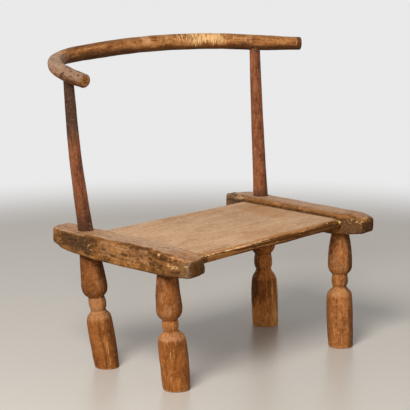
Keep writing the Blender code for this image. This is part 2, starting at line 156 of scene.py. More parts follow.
def add_skin(name, grid, grain, marks, finish):
    """A closed mesh: quads between rows and columns, the columns joined up, a fan of triangles at each end.

    The grain coordinates and the four marks (0 to 1) go along as point attributes for the finish to read.
    """
    rows, columns = grid.shape[:2]
    points = np.concatenate([grid.reshape(-1, 3), grid[[0, -1]].mean(axis=1)])
    row = np.arange(rows - 1)[:, None] * columns
    column = np.arange(columns)[None, :]
    beside = (column + 1) % columns
    quads = np.stack([row + column, row + beside, row + columns + beside, row + columns + column], axis=-1)
    last = (rows - 1) * columns
    column = column[0]
    beside = beside[0]
    first_fan = np.stack([np.full(columns, rows * columns), beside, column], axis=-1)
    last_fan = np.stack([np.full(columns, rows * columns + 1), last + column, last + beside], axis=-1)
    mesh = bpy.data.meshes.new(name)
    faces = quads.reshape(-1, 4).tolist() + first_fan.tolist() + last_fan.tolist()
    mesh.from_pydata(points.tolist(), [], faces)
    mesh.shade_smooth()
    coordinates = np.concatenate([grain.reshape(-1, 3), grain[[0, -1]].mean(axis=1)])
    target = mesh.attributes.new("grain", "FLOAT_VECTOR", "POINT")
    target.data.foreach_set("vector", coordinates.astype(np.float32).ravel())
    for mark in MARKS:
        values = np.broadcast_to(np.clip(marks.get(mark, 0.0), 0.0, 1.0), (rows, columns))
        values = np.concatenate([values.ravel(), values[[0, -1]].mean(axis=1)])
        target = mesh.attributes.new(mark, "FLOAT", "POINT")
        target.data.foreach_set("value", values.astype(np.float32))
    mesh.materials.append(finish)
    piece = bpy.data.objects.new(name, mesh)
    bpy.context.scene.collection.objects.link(piece)
    return piece


class Signal:
    """A shader socket that can stand in a Python expression: each operator adds one Math node."""

    def __init__(self, finish, socket):
        self.finish = finish
        self.socket = socket

    def math(self, operation, first, second):
        return self.finish.node("ShaderNodeMath", {"operation": operation}, {0: first, 1: second})

    def __add__(self, other):
        return self.math("ADD", self, other)

    def __radd__(self, other):
        return self.math("ADD", other, self)

    def __sub__(self, other):
        return self.math("SUBTRACT", self, other)

    def __rsub__(self, other):
        return self.math("SUBTRACT", other, self)

    def __mul__(self, other):
        return self.math("MULTIPLY", self, other)

    def __rmul__(self, other):
        return self.math("MULTIPLY", other, self)

    def __abs__(self):
        return self.math("ABSOLUTE", self, 0.0)


class Finish:
    """A material and the nodes in it."""

    def __init__(self, tree):
        self.tree = tree
        self.tree.nodes.clear()

    def node(self, kind, settings, sockets, output=0):
        """One node: its settings first, then a value or a link for each socket; gives one of its outputs."""
        made = self.tree.nodes.new(kind)
        for key, value in settings.items():
            if key == "stops":
                for place, colour in value[1:-1]:
                    made.color_ramp.elements.new(place).color = (*colour, 1.0)
                for index, (place, colour) in ((0, value[0]), (-1, value[-1])):
                    made.color_ramp.elements[index].position = place
                    made.color_ramp.elements[index].color = (*colour, 1.0)
            else:
                setattr(made, key, value)
        for key, value in sockets.items():
            if isinstance(value, Signal):
                self.tree.links.new(value.socket, made.inputs[key])
            else:
                made.inputs[key].default_value = value
        return Signal(self, made.outputs[output]) if made.outputs else None

    def mark(self, name):
        """One of the mesh's marks."""
        return self.node("ShaderNodeAttribute", {"attribute_name": name}, {}, output=2)

    def noise(self, vector, pitch, detail=3.0, roughness=0.55, distortion=0.0):
        """Noise about 0.5 with its own pitch in metres along each coordinate."""
        scaled = self.node("ShaderNodeVectorMath", {"operation": "DIVIDE"}, {0: vector, 1: pitch})
        sockets = {"Vector": scaled, "Scale": 1.0, "Detail": detail, "Roughness": roughness}
        return self.node("ShaderNodeTexNoise", {}, {**sockets, "Distortion": distortion})

    def band(self, value, start, end):
        """Smoothstep from 0 at the start to 1 at the end."""
        sockets = {"Value": value, "From Min": start, "From Max": end}
        return self.node("ShaderNodeMapRange", {"interpolation_type": "SMOOTHSTEP"}, sockets)

    def mix(self, share, first, second, blend="MIX"):
        """The first colour with a share of the second."""
        settings = {"data_type": "RGBA", "blend_type": blend}
        return self.node("ShaderNodeMix", settings, {0: share, 6: first, 7: second}, output=2)

    def ramp(self, value, *stops):
        """Colours blended between stops, each a place and a colour."""
        return self.node("ShaderNodeValToRGB", {"stops": stops}, {0: value})


def rgba(colour):
    """A colour with full alpha."""
    return (*colour, 1.0)


def aged_wood(name, tones, spread, rubbed, bare, soil, grey, streak, patch, chip, fibre, worn, fleck, ragged,
              rough, gloss, relief):
    """Old unvarnished wood on the piece's own grain coordinates.

    Three tones follow patches of patina, streaks along the grain and a fine mottle. Fibres, pores and thin
    cracks darken them, and fine pale scratches and flecks lie over them. Over that go the mesh's marks, each
    with an edge broken up by noise: greying from weather and painted sheen, worn zones and painted light,
    grime and painted shade, and pale new wood and painted glints, in chips of their own shape.
    """
    material = bpy.data.materials.new(name)
    material.use_nodes = True
    finish = Finish(material.node_tree)
    grain = finish.node("ShaderNodeAttribute", {"attribute_name": "grain"}, {}, output=1)
    patches = finish.noise(grain, patch, 4.0, 0.6, 0.4)
    streaks = finish.noise(grain, streak, 4.0, 0.6, 0.25)
    mottle = finish.noise(grain, (0.0074, 0.0052, 0.0052), 4.0, 0.72, 0.3)
    fibres = finish.noise(grain, (0.024, 0.0012, 0.0012), 3.0, 0.65)
    pores = finish.band(finish.noise(grain, (0.011, 0.0008, 0.0008), 1.0, 0.5), 0.58, 0.68)
    seam = abs(finish.noise(grain, (0.060, 0.0065, 0.0065), 3.0, 0.6, 0.6) - 0.5)
    cracks = worn * finish.band(seam, 0.012, 0.0) * finish.band(patches, 0.46, 0.56)
    scratch = abs(finish.noise(grain, (0.022, 0.009, 0.009), 2.0, 0.5, 1.2) - 0.5)
    scratch = worn * finish.band(scratch, 0.010, 0.0) * finish.band(mottle, 0.46, 0.58)
    tone = 0.40 * patches + 0.22 * streaks + 0.38 * mottle
    deep, middle, light = tones
    colour = finish.ramp(tone, (0.5 - spread, deep), (0.5, middle), (0.5 + spread, light))
    fibre_tone = finish.ramp(fibres, (0.32, (0.55,) * 3), (0.60, (1.0,) * 3))
    mottle_tone = finish.ramp(mottle, (0.36, (0.50,) * 3), (0.58, (1.0,) * 3))
    colour = finish.mix(fibre, colour, fibre_tone, "MULTIPLY")
    colour = finish.mix(0.35 * pores + 0.6 * cracks, colour, rgba(soil))
    broken = 0.7 * mottle + 0.3 * streaks - 0.5
    greyed_and_sheen = finish.band(finish.mark("grey") + 1.2 * broken, 0.15, 0.85)
    colour = finish.mix(0.85 * greyed_and_sheen, colour, rgba(grey))
    rub = finish.band(finish.mark("rubbed") + 1.2 * broken, 0.15, 0.9)
    rubbed_and_lit_tone = finish.mix(fibre, rgba(rubbed), fibre_tone, "MULTIPLY")
    rubbed_and_lit_tone = finish.mix(0.6, rubbed_and_lit_tone, mottle_tone, "MULTIPLY")
    colour = finish.mix(0.88 * rub, colour, rubbed_and_lit_tone)
    dirt_and_shade = finish.band(finish.mark("soiled") + ragged * broken, 0.15, 0.95)
    colour = finish.mix(0.84 * dirt_and_shade, colour, rgba(soil))
    colour = finish.mix(0.5 * scratch, colour, rgba(bare))
    flecks = finish.band(finish.noise(grain, (0.0042, 0.0022, 0.0022), 2.0, 0.6), 0.56, 0.72)
    colour = finish.mix(fleck * flecks, colour, rgba(bare))
    chips = finish.noise(grain, chip, 2.0, 0.6, 0.3)
    fresh_and_glint = finish.band(finish.mark("bare") + 2.4 * (chips - 0.5), 0.35, 0.70)
    fresh_and_glint = fresh_and_glint * finish.band(finish.mark("bare"), 0.02, 0.2)
    colour = finish.mix(0.85 * fresh_and_glint, colour, rgba(bare))
    roughness = rough + 0.22 * (fibres - 0.5) + 0.14 * dirt_and_shade + 0.12 * fresh_and_glint + 0.1 * greyed_and_sheen - 0.06 * rub
    height = 0.4 * fibres + 0.25 * streaks + 0.6 * mottle - 0.25 * pores - 0.5 * cracks - 0.15 * fresh_and_glint
    normal = finish.node("ShaderNodeBump", {}, {"Strength": 0.6, "Distance": relief, "Height": height})
    sockets = {"Base Color": colour, "Roughness": roughness, "Normal": normal, "Specular IOR Level": gloss}
    shader = finish.node("ShaderNodeBsdfPrincipled", {}, sockets)
    finish.node("ShaderNodeOutputMaterial", {}, {"Surface": shader})
    return material


def run(start, end, count):
    """Evenly spaced places from a start to an end, the end left out."""
    return start + (end - start) * np.arange(count) / count


def quarter(x, z, wide, tall, start, count, turn=1.0):
    """A quarter of an ellipse from a start angle on: anticlockwise, or clockwise for a turn of -1."""
    angle = np.radians(start) + turn * np.arange(count) / count * 0.5 * np.pi
    return x + wide * np.cos(angle), z + tall * np.sin(angle)


def joined(stretches):
    """The stretches of a section, each given by its places across and up, put end to end."""
    stretches = [np.broadcast_arrays(*stretch) for stretch in stretches]
    return [np.concatenate(places, axis=1) for places in zip(*stretches)]


def rounded_ends(length, rounds, rows, turns, caps, smallest):
    """Rows along a bar: their places, how far each draws in, and the share to which it shrinks.

    The edge of an end follows a quarter circle in so many turns, and its face shrinks to the middle in caps.
    """
    turn = np.linspace(0.0, 0.5 * np.pi, turns)
    cap = np.linspace(smallest, 1.0, caps + 1)[:-1]
    edge = [size * (1.0 - np.cos(turn)) for size in rounds]
    drawn = [size * (1.0 - np.sin(turn)) for size in rounds]
    body = np.linspace(edge[0][-1], length - edge[1][-1], rows)[1:-1]
    place = [0.0 * cap, edge[0], body, length - edge[1][::-1], length + 0.0 * cap]
    shy = [0.0 * cap + rounds[0], drawn[0], 0.0 * body, drawn[1][::-1], 0.0 * cap + rounds[1]]
    shrink = [cap, 1.0 + 0.0 * turn, 1.0 + 0.0 * body, 1.0 + 0.0 * turn, cap[::-1]]
    return np.concatenate(place), np.concatenate(shy), np.concatenate(shrink)


def rail_grid(side, axis, front, rear, level, depth, droop, front_depth, rear_drop, rear_depth, front_taper,
              rear_taper, nose, inset, inner_wear, skew, groove, rounds, corners, lead, tail, front_wear):
    """The hewn baulk as rows along Y and columns round it, with the share of groove at each point.

    A row is a rectangle with four elliptic corners, whose sides follow the outlines from above and the side.
    Near an end it draws in along a quarter circle, then shrinks to the middle of the end face, skewed in
    plan. The outer front corner is a quarter ellipse in plan. The inner top edge is worn to other sizes in
    front of the groove (lead) and behind it (tail), and the outer top edge is worn rounder at the front.
    """
    length = rear - front
    half = RAIL_HALF_WIDTH
    rows = rounded_ends(length, rounds, RAIL_BODY_ROWS, turns=10, caps=12, smallest=0.05)
    place, shy, shrink = [values[:, None] for values in rows]
    place = place / length
    y = front + place * length
    top = np.interp(y, [front, front + FALL_SHARE * length, rear - 0.02, rear],
                    [level - droop, level, level, level - rear_drop]) - shy
    keel = 0.5 * (depth + rear_depth) + UNDERSIDE_BELLY
    bottom = np.interp(y, [front, front + front_taper, rear - rear_taper, rear - 0.5 * rear_taper, rear],
                       [RAIL_TOP - d for d in (front_depth, depth, depth, keel, rear_depth)]) + shy
    blunt = np.clip((y - front) / nose, 0.0, 1.0)
    outer = half - inset * (1.0 - np.sqrt(blunt * (2.0 - blunt)))
    outer = np.minimum(outer, np.interp(y, [rear - REAR_SLANT, rear], [half, REAR_HALF_WIDTH])) - shy
    inner = np.interp(y, [front, front + FRONT_SLANT, rear - END_INSET, rear],
                      [END_INSET - half, -half, -half, END_INSET - half]) + shy
    inner_face_y = (1.0 - place) * (front + skew[0]) + place * rear
    cut = ((inner_face_y > groove[0]) & (inner_face_y < groove[1])).astype(float)
    behind = ease(groove[1] + 0.003, groove[1] + 0.014, y)
    ahead = ease(groove[0], groove[0] - 0.005, inner_face_y)
    plain = (1.0 - behind) * (1.0 - ahead)
    crisp = 1.0 - 0.65 * ease(rear - 0.080, rear - 0.045, y)
    crisp = crisp * (1.0 + front_wear * ease(front + 0.045, front, y))
    room = np.maximum(top - GROOVE_HIGH - 0.0004, 0.0003)
    sizes = {}
    for corner, (wide, tall) in corners.items():
        if corner == "inner_top":
            wide = wide * plain + tail[0] * behind + lead[0] * ahead
            tall = np.minimum(tall, room) * plain + tail[1] * behind + lead[1] * ahead
        share = crisp if corner == "outer_top" else 1.0
        sizes[corner] = np.maximum(wide * share - shy, 0.0006), np.maximum(tall * share - shy, 0.0003)
    wide_it, tall_it = sizes["inner_top"]
    wide_ot, tall_ot = sizes["outer_top"]
    wide_ob, tall_ob = sizes["outer_bottom"]
    wide_ib, tall_ib = sizes["inner_bottom"]
    low = bottom + tall_ib
    high = top - tall_it
    share = run(0.0, 1.0, RAIL_COLUMNS[6])
    stations = [0.0, 0.30, 0.45, 0.60, 0.75, 1.0]
    sunk = np.interp(share, stations, [0.0, 0.0, 1.0, 1.0, 0.0, 0.0])
    rise = np.interp(share, stations, [0.0, 1.0, 1.0, 1.0, 1.0, 1.0])
    above = np.interp(share, stations, [0.0, 0.0, 0.0, 1.0, 1.0, 1.0])
    over = np.interp(share, stations, [0.0, 0.0, 0.0, 0.0, 0.0, 1.0])
    cut_z = low * (1.0 - rise) + GROOVE_LOW * (rise - above) + GROOVE_HIGH * (above - over) + high * over
    plain_z = low + (high - low) * share
    out, z = joined([
        (run(inner + wide_it, outer - wide_ot, RAIL_COLUMNS[0]), top),
        quarter(outer - wide_ot, top - tall_ot, wide_ot, tall_ot, 90.0, RAIL_COLUMNS[1], -1.0),
        (outer, run(top - tall_ot, bottom + tall_ob, RAIL_COLUMNS[2])),
        quarter(outer - wide_ob, bottom + tall_ob, wide_ob, tall_ob, 0.0, RAIL_COLUMNS[3], -1.0),
        (run(outer - wide_ob, inner + wide_ib, RAIL_COLUMNS[4]), bottom),
        quarter(inner + wide_ib, low, wide_ib, tall_ib, -90.0, RAIL_COLUMNS[5], -1.0),
        (inner + cut * GROOVE_DEPTH * sunk, cut * cut_z + (1.0 - cut) * plain_z),
        quarter(inner + wide_it, high, wide_it, tall_it, 180.0, RAIL_COLUMNS[7], -1.0),
    ])
    out = 0.5 * (inner + outer) + (out - 0.5 * (inner + outer)) * shrink
    z = 0.5 * (top + bottom) + (z - 0.5 * (top + bottom)) * shrink
    back = inner_wear[0] * np.clip(1.0 - (y - front) / inner_wear[1], 0.0, 1.0)
    out = out + back * ease(WEAR_LOW, WEAR_HIGH, z) * (outer - out) / (outer - inner)
    front_line = np.interp(out, [END_INSET - half, 0.0, half - inset],
                           [front + skew[0], front + 0.0015, front + skew[1]])
    rear_line = np.interp(out, [-0.004, REAR_HALF_WIDTH], [rear, rear - 0.010])
    grid = np.stack([axis + side * out, (1.0 - place) * front_line + place * rear_line, z], axis=-1)
    inside = np.zeros(out.shape)
    first, last = sum(RAIL_COLUMNS[:6]) + np.array(GROOVE_COLUMNS)
    inside[:, first:last] = cut
    if side < 0:
        grid, inside = grid[:, ::-1], inside[:, ::-1]
    return grid, inside


rail_wood = aged_wood(
    "hewn_rail_wood",
    tones=((0.085, 0.030, 0.007), (0.285, 0.112, 0.028), (0.470, 0.205, 0.057)), spread=0.100,
    rubbed=(0.545, 0.335, 0.202), bare=(0.58, 0.34, 0.14),
    soil=(0.044, 0.017, 0.006), grey=(0.140, 0.084, 0.046),
    streak=(0.060, 0.0060, 0.0060), patch=(0.030, 0.018, 0.018), chip=(0.0060, 0.0024, 0.0024),
    fibre=0.5, worn=1.0, fleck=0.15, ragged=1.5, rough=0.58, gloss=0.07, relief=0.0011,
)
RAILS = {
    "left_rail": dict(
        side=-1, axis=-0.25194, front=-0.20485, rear=0.16115, level=0.256, depth=0.0425, droop=0.007,
        front_depth=0.0365, front_taper=0.050, rear_taper=0.116, nose=0.016, inset=0.0095,
        inner_wear=(0.0090, 0.0400), skew=(0.008, 0.0),
        groove=(-0.1907, 0.0870), rear_drop=0.0010, rear_depth=0.0295, rounds=(0.0060, 0.0020),
        lead=(0.0140, 0.0110), tail=(0.005, 0.004), front_wear=0.2,
        corners={"inner_top": (0.005, 0.004), "outer_top": (0.014, 0.0095), "outer_bottom": (0.006, 0.006),
                 "inner_bottom": (0.005, 0.005)},
    ),
    "right_rail": dict(
        side=1, axis=0.19206, front=-0.22635, rear=0.1240, level=0.2584, depth=0.0385, droop=0.002,
        front_depth=0.0285, front_taper=0.070, rear_taper=0.090, nose=0.045, inset=0.020,
        inner_wear=(0.0, 0.0400), skew=(0.0005, 0.003),
        groove=(-0.1767, 0.0750), rear_drop=0.0010, rear_depth=0.0265, rounds=(0.0085, 0.0045),
        lead=(0.0200, 0.0110), tail=(0.006, 0.004), front_wear=0.9,
        corners={"inner_top": (0.024, 0.0085), "outer_top": (0.010, 0.0055), "outer_bottom": (0.006, 0.006),
                 "inner_bottom": (0.005, 0.005)},
    ),
}
LEFT_FACE = -0.27994
SPOT_REACH = 0.012
# Scars on the outer face of the left rail: y, z, half length, half height and depth
SCARS = (
    (-0.1425, 0.2436, 0.0110, 0.0022, 0.0026),
    (-0.1096, 0.2362, 0.0090, 0.0070, 0.0004),
    (-0.0142, 0.2296, 0.0080, 0.0035, 0.0010),
    (-0.0448, 0.2364, 0.0120, 0.0030, 0.0012),
    (-0.0798, 0.2313, 0.0050, 0.0065, 0.0005),
    (0.0062, 0.2372, 0.0100, 0.0028, 0.0012),
    (0.0900, 0.2420, 0.0160, 0.0025, 0.0014),
    (0.0640, 0.2330, 0.0120, 0.0022, 0.0011),
)
# Pale chips on the same face: y, z, half length and half height
CHIPS = (
    (-0.1292, 0.2490, 0.0050, 0.0035),
    (-0.1582, 0.2480, 0.0085, 0.0030),
    (-0.1640, 0.2349, 0.0200, 0.0060),
    (-0.1975, 0.2400, 0.0018, 0.0070),
    (0.0400, 0.2325, 0.0055, 0.0022),
    (0.0475, 0.2345, 0.0020, 0.0045),
)
# Pale scratches on the inner edge of the right rail's front end: x, y, half length and half height
SCRATCHES = (
    (0.1672, -0.2150, 0.0125, 0.0026),
    (0.1685, -0.1990, 0.0060, 0.0042),
    (0.1720, -0.1890, 0.0040, 0.0050),
)
TENON_RINGS = {"left_rail": (-0.2545, -0.1222), "right_rail": (0.1938, -0.1476)}
TENON_RADIUS = 0.014
POST_FEET = {"left_rail": (-0.24794, 0.08765), "right_rail": (0.19806, 0.05665)}
for seed, (name, rail) in enumerate(RAILS.items(), start=3):
    grid, inside = rail_grid(**rail)
    normal = outward(grid)
    free = (1.0 - inside)[..., None]
    y = grid[..., 1]
    outer_face = ease(0.45, 0.85, rail["side"] * normal[..., 0])
    hewn = 0.0011 * cloud(grid, (0.050, 0.045, 0.030), seed, 2)
    creases = 0.0007 * (1.0 - 2.2 * np.abs(cloud(grid, (0.020, 0.055, 0.015), seed + 9, 2)))
    pits = ease(0.25, 0.75, cloud(grid, (0.008, 0.017, 0.0048), seed + 20, 3)) * (0.35 + 0.65 * outer_face)
    pits = pits * (0.35 + 0.65 * ease(-0.2, 0.3, cloud(grid, 0.03, seed + 31, 2)))
    corner = plateau(0.15, 0.45, 0.80, 0.97, normal[..., 2])
    bites = ease(0.05, 0.55, cloud(grid, (0.016, 0.020, 0.012), seed + 25, 3)) * corner
    pocks = ease(0.25, 0.70, cloud(grid, (0.0060, 0.0072, 0.0034), seed + 36, 3)) * outer_face
    lift = hewn + creases - 0.0012 * pits - 0.0007 * bites - 0.0005 * pocks
    scars = np.zeros(pits.shape)
    chips = np.zeros(pits.shape)
    if name == "left_rail":
        for index, (at, up, long, tall, deep) in enumerate(SCARS):
            scar = blot(grid, (LEFT_FACE, at, up), (SPOT_REACH, long, tall), 60 + index, 0.55)
            scars = np.maximum(scars, scar)
            lift = lift - deep * scar
        for index, (at, up, long, tall) in enumerate(CHIPS):
            chip = blot(grid, (LEFT_FACE, at, up), (SPOT_REACH, long, tall), 80 + index, 0.5)
            chips = np.maximum(chips, chip)
        lift = lift - 0.0005 * chips
    grid = grid + normal * free * lift[..., None]
    x = grid[..., 0]
    z = grid[..., 2]
    normal = outward(grid)
    curve = bend(grid, normal, 3)
    up = ease(0.45, 0.92, normal[..., 2])
    down = ease(0.3, 0.8, -normal[..., 2])
    facing = ease(0.5, 0.9, -normal[..., 1])
    plan = np.linalg.norm(grid[..., :2] - np.array(TENON_RINGS[name]), axis=-1)
    ring = ease(0.0024, 0.0008, np.abs(plan - TENON_RADIUS - 0.0006)) * up
    plan = np.linalg.norm(grid[..., :2] - np.array(POST_FEET[name]), axis=-1)
    post_foot_shade = ease(0.020, 0.0125, plan) * up
    inner_side = ease(0.3, 0.8, -rail["side"] * normal[..., 0])
    outer_side = ease(-0.006, 0.006, rail["side"] * (x - rail["axis"]))
    lip = ease(0.004, 0.0, np.abs(z - GROOVE_HIGH)) * inner_side
    # Painted shade among the grime and wear: the undersides (down), the hollows, the dark line along the
    # groove's lip where the plank meets the rail, and the ring round each post's foot. The front end faces
    # (facing) are darker end grain and partly painted shade.
    soiled = 0.36 * pits + 0.45 * scars + 0.45 * ring + 0.4 * post_foot_shade + 0.5 * lip + inside + 0.3 * down
    soiled = soiled + 0.25 * bites + 0.35 * ease(-20.0, -90.0, curve) + 0.70 * facing + 0.16 * pocks
    grey = 0.05 + 0.15 * facing + 0.2 * ring
    rubbed = 0.80 * up * (1.0 - 0.5 * pits)
    if name == "left_rail":
        fray = 0.010 * cloud(grid, (0.02, 0.016, 0.010), 102, 3)
        along = y + fray
        stain = plateau(0.022, 0.048, 0.117, 0.125, along) * outer_face
        stain = stain * ease(0.222, 0.231, z + fray - 0.12 * (y - 0.08))
        knot = np.linalg.norm((grid - (LEFT_FACE, 0.0415, 0.2362)) / (0.02, 0.0065, 0.0065), axis=-1)
        knot_ring = ease(0.35, 0.0, np.abs(knot - 0.85))
        arris = plateau(0.06, 0.26, 0.93, 0.995, normal[..., 2]) * outer_side
        arris = arris * plateau(-0.180, -0.13, 0.045, 0.080, y)
        low_face = ease(0.2300, 0.2220, z + fray) * outer_face
        mid_zone = plateau(-0.125, -0.105, 0.015, 0.035, along) * outer_face
        handled = mid_zone * (1.0 - 0.7 * low_face)
        front_zone = plateau(-0.186, -0.178, -0.125, -0.105, along) * outer_face
        # Painted highlight: the rounded outer front corner of the left rail is made paler and greyer, as a
        # sheen running down it.
        front_corner_sheen = ease(-0.186, -0.197, y) * ease(0.95, 0.7, -normal[..., 1]) * outer_side * (1.0 - up)
        crackle = ease(0.16, 0.03, np.abs(cloud(grid, (0.014, 0.022, 0.010), 105, 3)))
        crackle = crackle * ease(0.0, -0.07, y) * ease(0.02, 0.5, outer_face + arris)
        soiled = soiled + 0.74 * stain + 0.3 * ease(1.0, 0.4, knot) + 0.50 * arris + 0.40 * front_zone
        soiled = soiled + 0.20 * low_face - 0.26 * handled + 0.34 * crackle
        soiled = soiled + 0.36 * ease(0.119, 0.124, y) * (1.0 - up)
        grey = grey + 0.50 * stain + 0.40 * front_corner_sheen + 0.42 * ease(-0.140, -0.180, along) * outer_face
        chips = np.maximum(chips, knot_ring * ease(-0.15, 0.35, cloud(grid, 0.006, 104, 2)))
        rubbed = rubbed * (1.0 - 0.80 * arris) * (1.0 - 0.40 * ease(-0.125, -0.160, y))
        rubbed = rubbed * (1.0 - 0.30 * ease(0.020, 0.070, y))
        rubbed = rubbed * (1.0 - 0.12 * outer_side * ease(0.080, 0.045, y))
        rubbed = rubbed - 0.06 * low_face + 0.34 * handled + 0.20 * front_corner_sheen
        rubbed = rubbed * (1.0 - 0.25 * crackle)
    else:
        tail = ease(0.080, 0.115, y)
        roll = ease(rail["axis"] - 0.004, rail["axis"] - 0.020, x)
        skirt = ease(0.2562, 0.2520, z + 0.0016 * cloud(grid, 0.012, 103, 2)) * ease(-0.165, -0.150, y)
        skirt = skirt * ease(rail["axis"] - 0.012, rail["axis"] - 0.018, x)
        slant = y - 0.0716 - 1.37 * (x - 0.1576)
        far_end = ease(-0.003, 0.008, slant + 0.010 * cloud(grid, 0.010, 107, 2))
        soiled = soiled + 0.50 * skirt + 0.20 * inner_side * (1.0 + 2.0 * ease(-0.165, -0.180, y))
        soiled = soiled - 0.40 * tail * inner_side + 0.15 * facing + 0.36 * far_end * up
        grey = grey + 0.95 * np.maximum(tail * (1.0 - up), 0.85 * far_end)
        grey = grey + 0.05 * facing + 0.48 * ease(-0.165, -0.185, y) * inner_side
        rubbed = rubbed * 1.15 * (1.0 - 0.68 * roll * (1.0 - tail)) * (1.0 - 0.7 * inner_side)
        rubbed = rubbed + 0.20 * tail * up
        rubbed = rubbed * (1.0 - 0.75 * far_end) * (1.0 - 0.42 * ease(-0.150, -0.178, y))
        rubbed = rubbed + 0.30 * tail * ease(-0.3, 0.3, cloud(grid, (0.016, 0.010, 0.010), 106, 3))
        rubbed = rubbed + 0.75 * blot(grid, (0.1660, 0.0860, 0.2560), (0.012, 0.011, 0.008), 131, 0.9)
        for index, (across, at, long, tall) in enumerate(SCRATCHES):
            scratch = blot(grid, (across, at, 0.2500), (0.008, long, tall), 90 + index, 0.9)
            chips = np.maximum(chips, 0.8 * scratch)
    crest = ease(55.0, 160.0, curve) * (0.5 + 0.5 * cloud(grid, 0.02, seed + 41, 3))
    bare = 0.52 * chips + 0.30 * crest * (1.0 - up) * (1.0 - facing)
    marks = dict(rubbed=rubbed, soiled=soiled - 0.5 * chips, bare=bare, grey=grey)
    piece = add_skin(name + "_hewn", grid, grid[..., [1, 0, 2]], marks, rail_wood)
    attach(piece, "root")
    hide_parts(name)


# Seat plank. One split and smoothed board of paler wood, its ends slid into the grooves of the rails.
# The top is matte from sitting and streaked along the grain; the front edge is rubbed round and golden.

SEAT_LEFT = -0.23294
SEAT_RIGHT = 0.17306
SEAT_ENDS = (SEAT_LEFT, SEAT_RIGHT)
SEAT_FRONT = (-0.19035, -0.17635)
SEAT_REAR = (0.08665, 0.07465)
SEAT_TOP = 0.249
SEAT_UNDER = 0.235
SEAT_SAG = 0.0018
SEAT_END_DRAW = 0.0015
SEAT_END_REACH = 0.0035
SEAT_ROWS = 230
# Columns round the plank: rear top edge, top, front top edge, front face, front low edge, underside,
# rear low edge and rear face
SEAT_COLUMNS = (8, 130, 22, 9, 14, 70, 8, 6)


def seat_grid():
    """The plank as rows along X, each a slab section in YZ with long edges rounded quarter by quarter."""
    x = np.linspace(SEAT_LEFT, SEAT_RIGHT, SEAT_ROWS)[:, None]
    front = np.interp(x, SEAT_ENDS, SEAT_FRONT)
    rear = np.interp(x, SEAT_ENDS, SEAT_REAR)
    from_end = np.minimum(x - SEAT_LEFT, SEAT_RIGHT - x)
    shy = SEAT_END_DRAW * (1.0 - np.clip(from_end / SEAT_END_REACH, 0.0, 1.0)) ** 2
    low = SEAT_UNDER + shy - SEAT_SAG * plateau(-0.100, 0.020, 0.135, 0.158, x)
    high = SEAT_TOP - shy
    front_deep = 0.0070
    front_tall = 0.0050
    front_under = 0.0036
    rear_round = 0.0035
    y, z = joined([
        quarter(rear - rear_round, high - rear_round, rear_round, rear_round, 0.0, SEAT_COLUMNS[0]),
        (run(rear - rear_round, front + front_deep, SEAT_COLUMNS[1]), high),
        quarter(front + front_deep, high - front_tall, front_deep, front_tall, 90.0, SEAT_COLUMNS[2]),
        (front, run(high - front_tall, low + front_under, SEAT_COLUMNS[3])),
        quarter(front + front_under, low + front_under, front_under, front_under, 180.0, SEAT_COLUMNS[4]),
        (run(front + front_under, rear - rear_round, SEAT_COLUMNS[5]), low),
        quarter(rear - rear_round, low + rear_round, rear_round, rear_round, 270.0, SEAT_COLUMNS[6]),
        (rear, run(low + rear_round, high - rear_round, SEAT_COLUMNS[7])),
    ])
    return np.stack([np.broadcast_to(x, y.shape), y, z], axis=-1)


seat_wood = aged_wood(
    "seat_plank_wood",
    tones=((0.370, 0.187, 0.086), (0.536, 0.316, 0.171), (0.645, 0.408, 0.242)), spread=0.100,
    rubbed=(0.42, 0.158, 0.032), bare=(0.84, 0.53, 0.22),
    soil=(0.066, 0.019, 0.004), grey=(0.580, 0.370, 0.225),
    streak=(0.120, 0.0060, 0.0060), patch=(0.100, 0.040, 0.040), chip=(0.0060, 0.0024, 0.0024),
    fibre=0.28, worn=0.25, fleck=0.0, ragged=1.5, rough=0.58, gloss=0.05, relief=0.0004,
)
grid = seat_grid()
normal = outward(grid)
housed = ease(0.010, 0.018, np.minimum(grid[..., 0] - SEAT_LEFT, SEAT_RIGHT - grid[..., 0]))
front_edge = ease(0.25, 0.75, -normal[..., 1])
under = ease(0.3, 0.8, -normal[..., 2])
wave = 0.00045 * cloud(grid, (0.110, 0.050, 0.030), 7, 2) + 0.0002 * cloud(grid, (0.060, 0.009, 0.009), 8, 2)
nibbles = ease(0.10, 0.65, cloud(grid, (0.022, 0.0040, 0.0032), 9, 3)) * ease(0.15, 0.5, -normal[..., 1])
splits = ease(0.10, 0.0, np.abs(cloud(grid, (0.060, 0.010, 0.0045), 11, 2))) * front_edge
rough_under = 0.0006 * cloud(grid, (0.050, 0.012, 0.012), 10, 2) * under
lift = wave + rough_under - 0.0009 * nibbles - 0.0008 * splits
lift = lift + 0.0004 * front_edge * cloud(grid, (0.050, 0.02, 0.02), 12, 2)
grid = grid + normal * (housed * (lift - 0.0004))[..., None]
x, y, z = np.moveaxis(grid, -1, 0)
upward = outward(grid)[..., 2]
edge_depth = y - np.interp(x, SEAT_ENDS, SEAT_FRONT) + 0.006 * cloud(grid, (0.03, 0.01, 0.01), 14, 2)
front_band = ease(0.019, 0.005, edge_depth)
tattered = upward + 0.55 * cloud(grid, (0.032, 0.0034, 0.0026), 19, 3)
lines = ease(-0.12, 0.14, cloud(grid, (0.100, 0.0060, 0.0040), 22, 2))
right_half = ease(-0.060, 0.040, x)
# Painted shade: the lower half of the front edge is darkened (low_face, with hem at its bottom on the left),
# and lighter again along its bottom rim (low_rim).
low_face = ease(0.86 + 0.12 * right_half, 0.52 + 0.27 * right_half, tattered) * ease(0.030, 0.006, edge_depth)
low_face = low_face * (0.34 + 0.76 * lines + (0.30 - 0.42 * lines) * right_half)
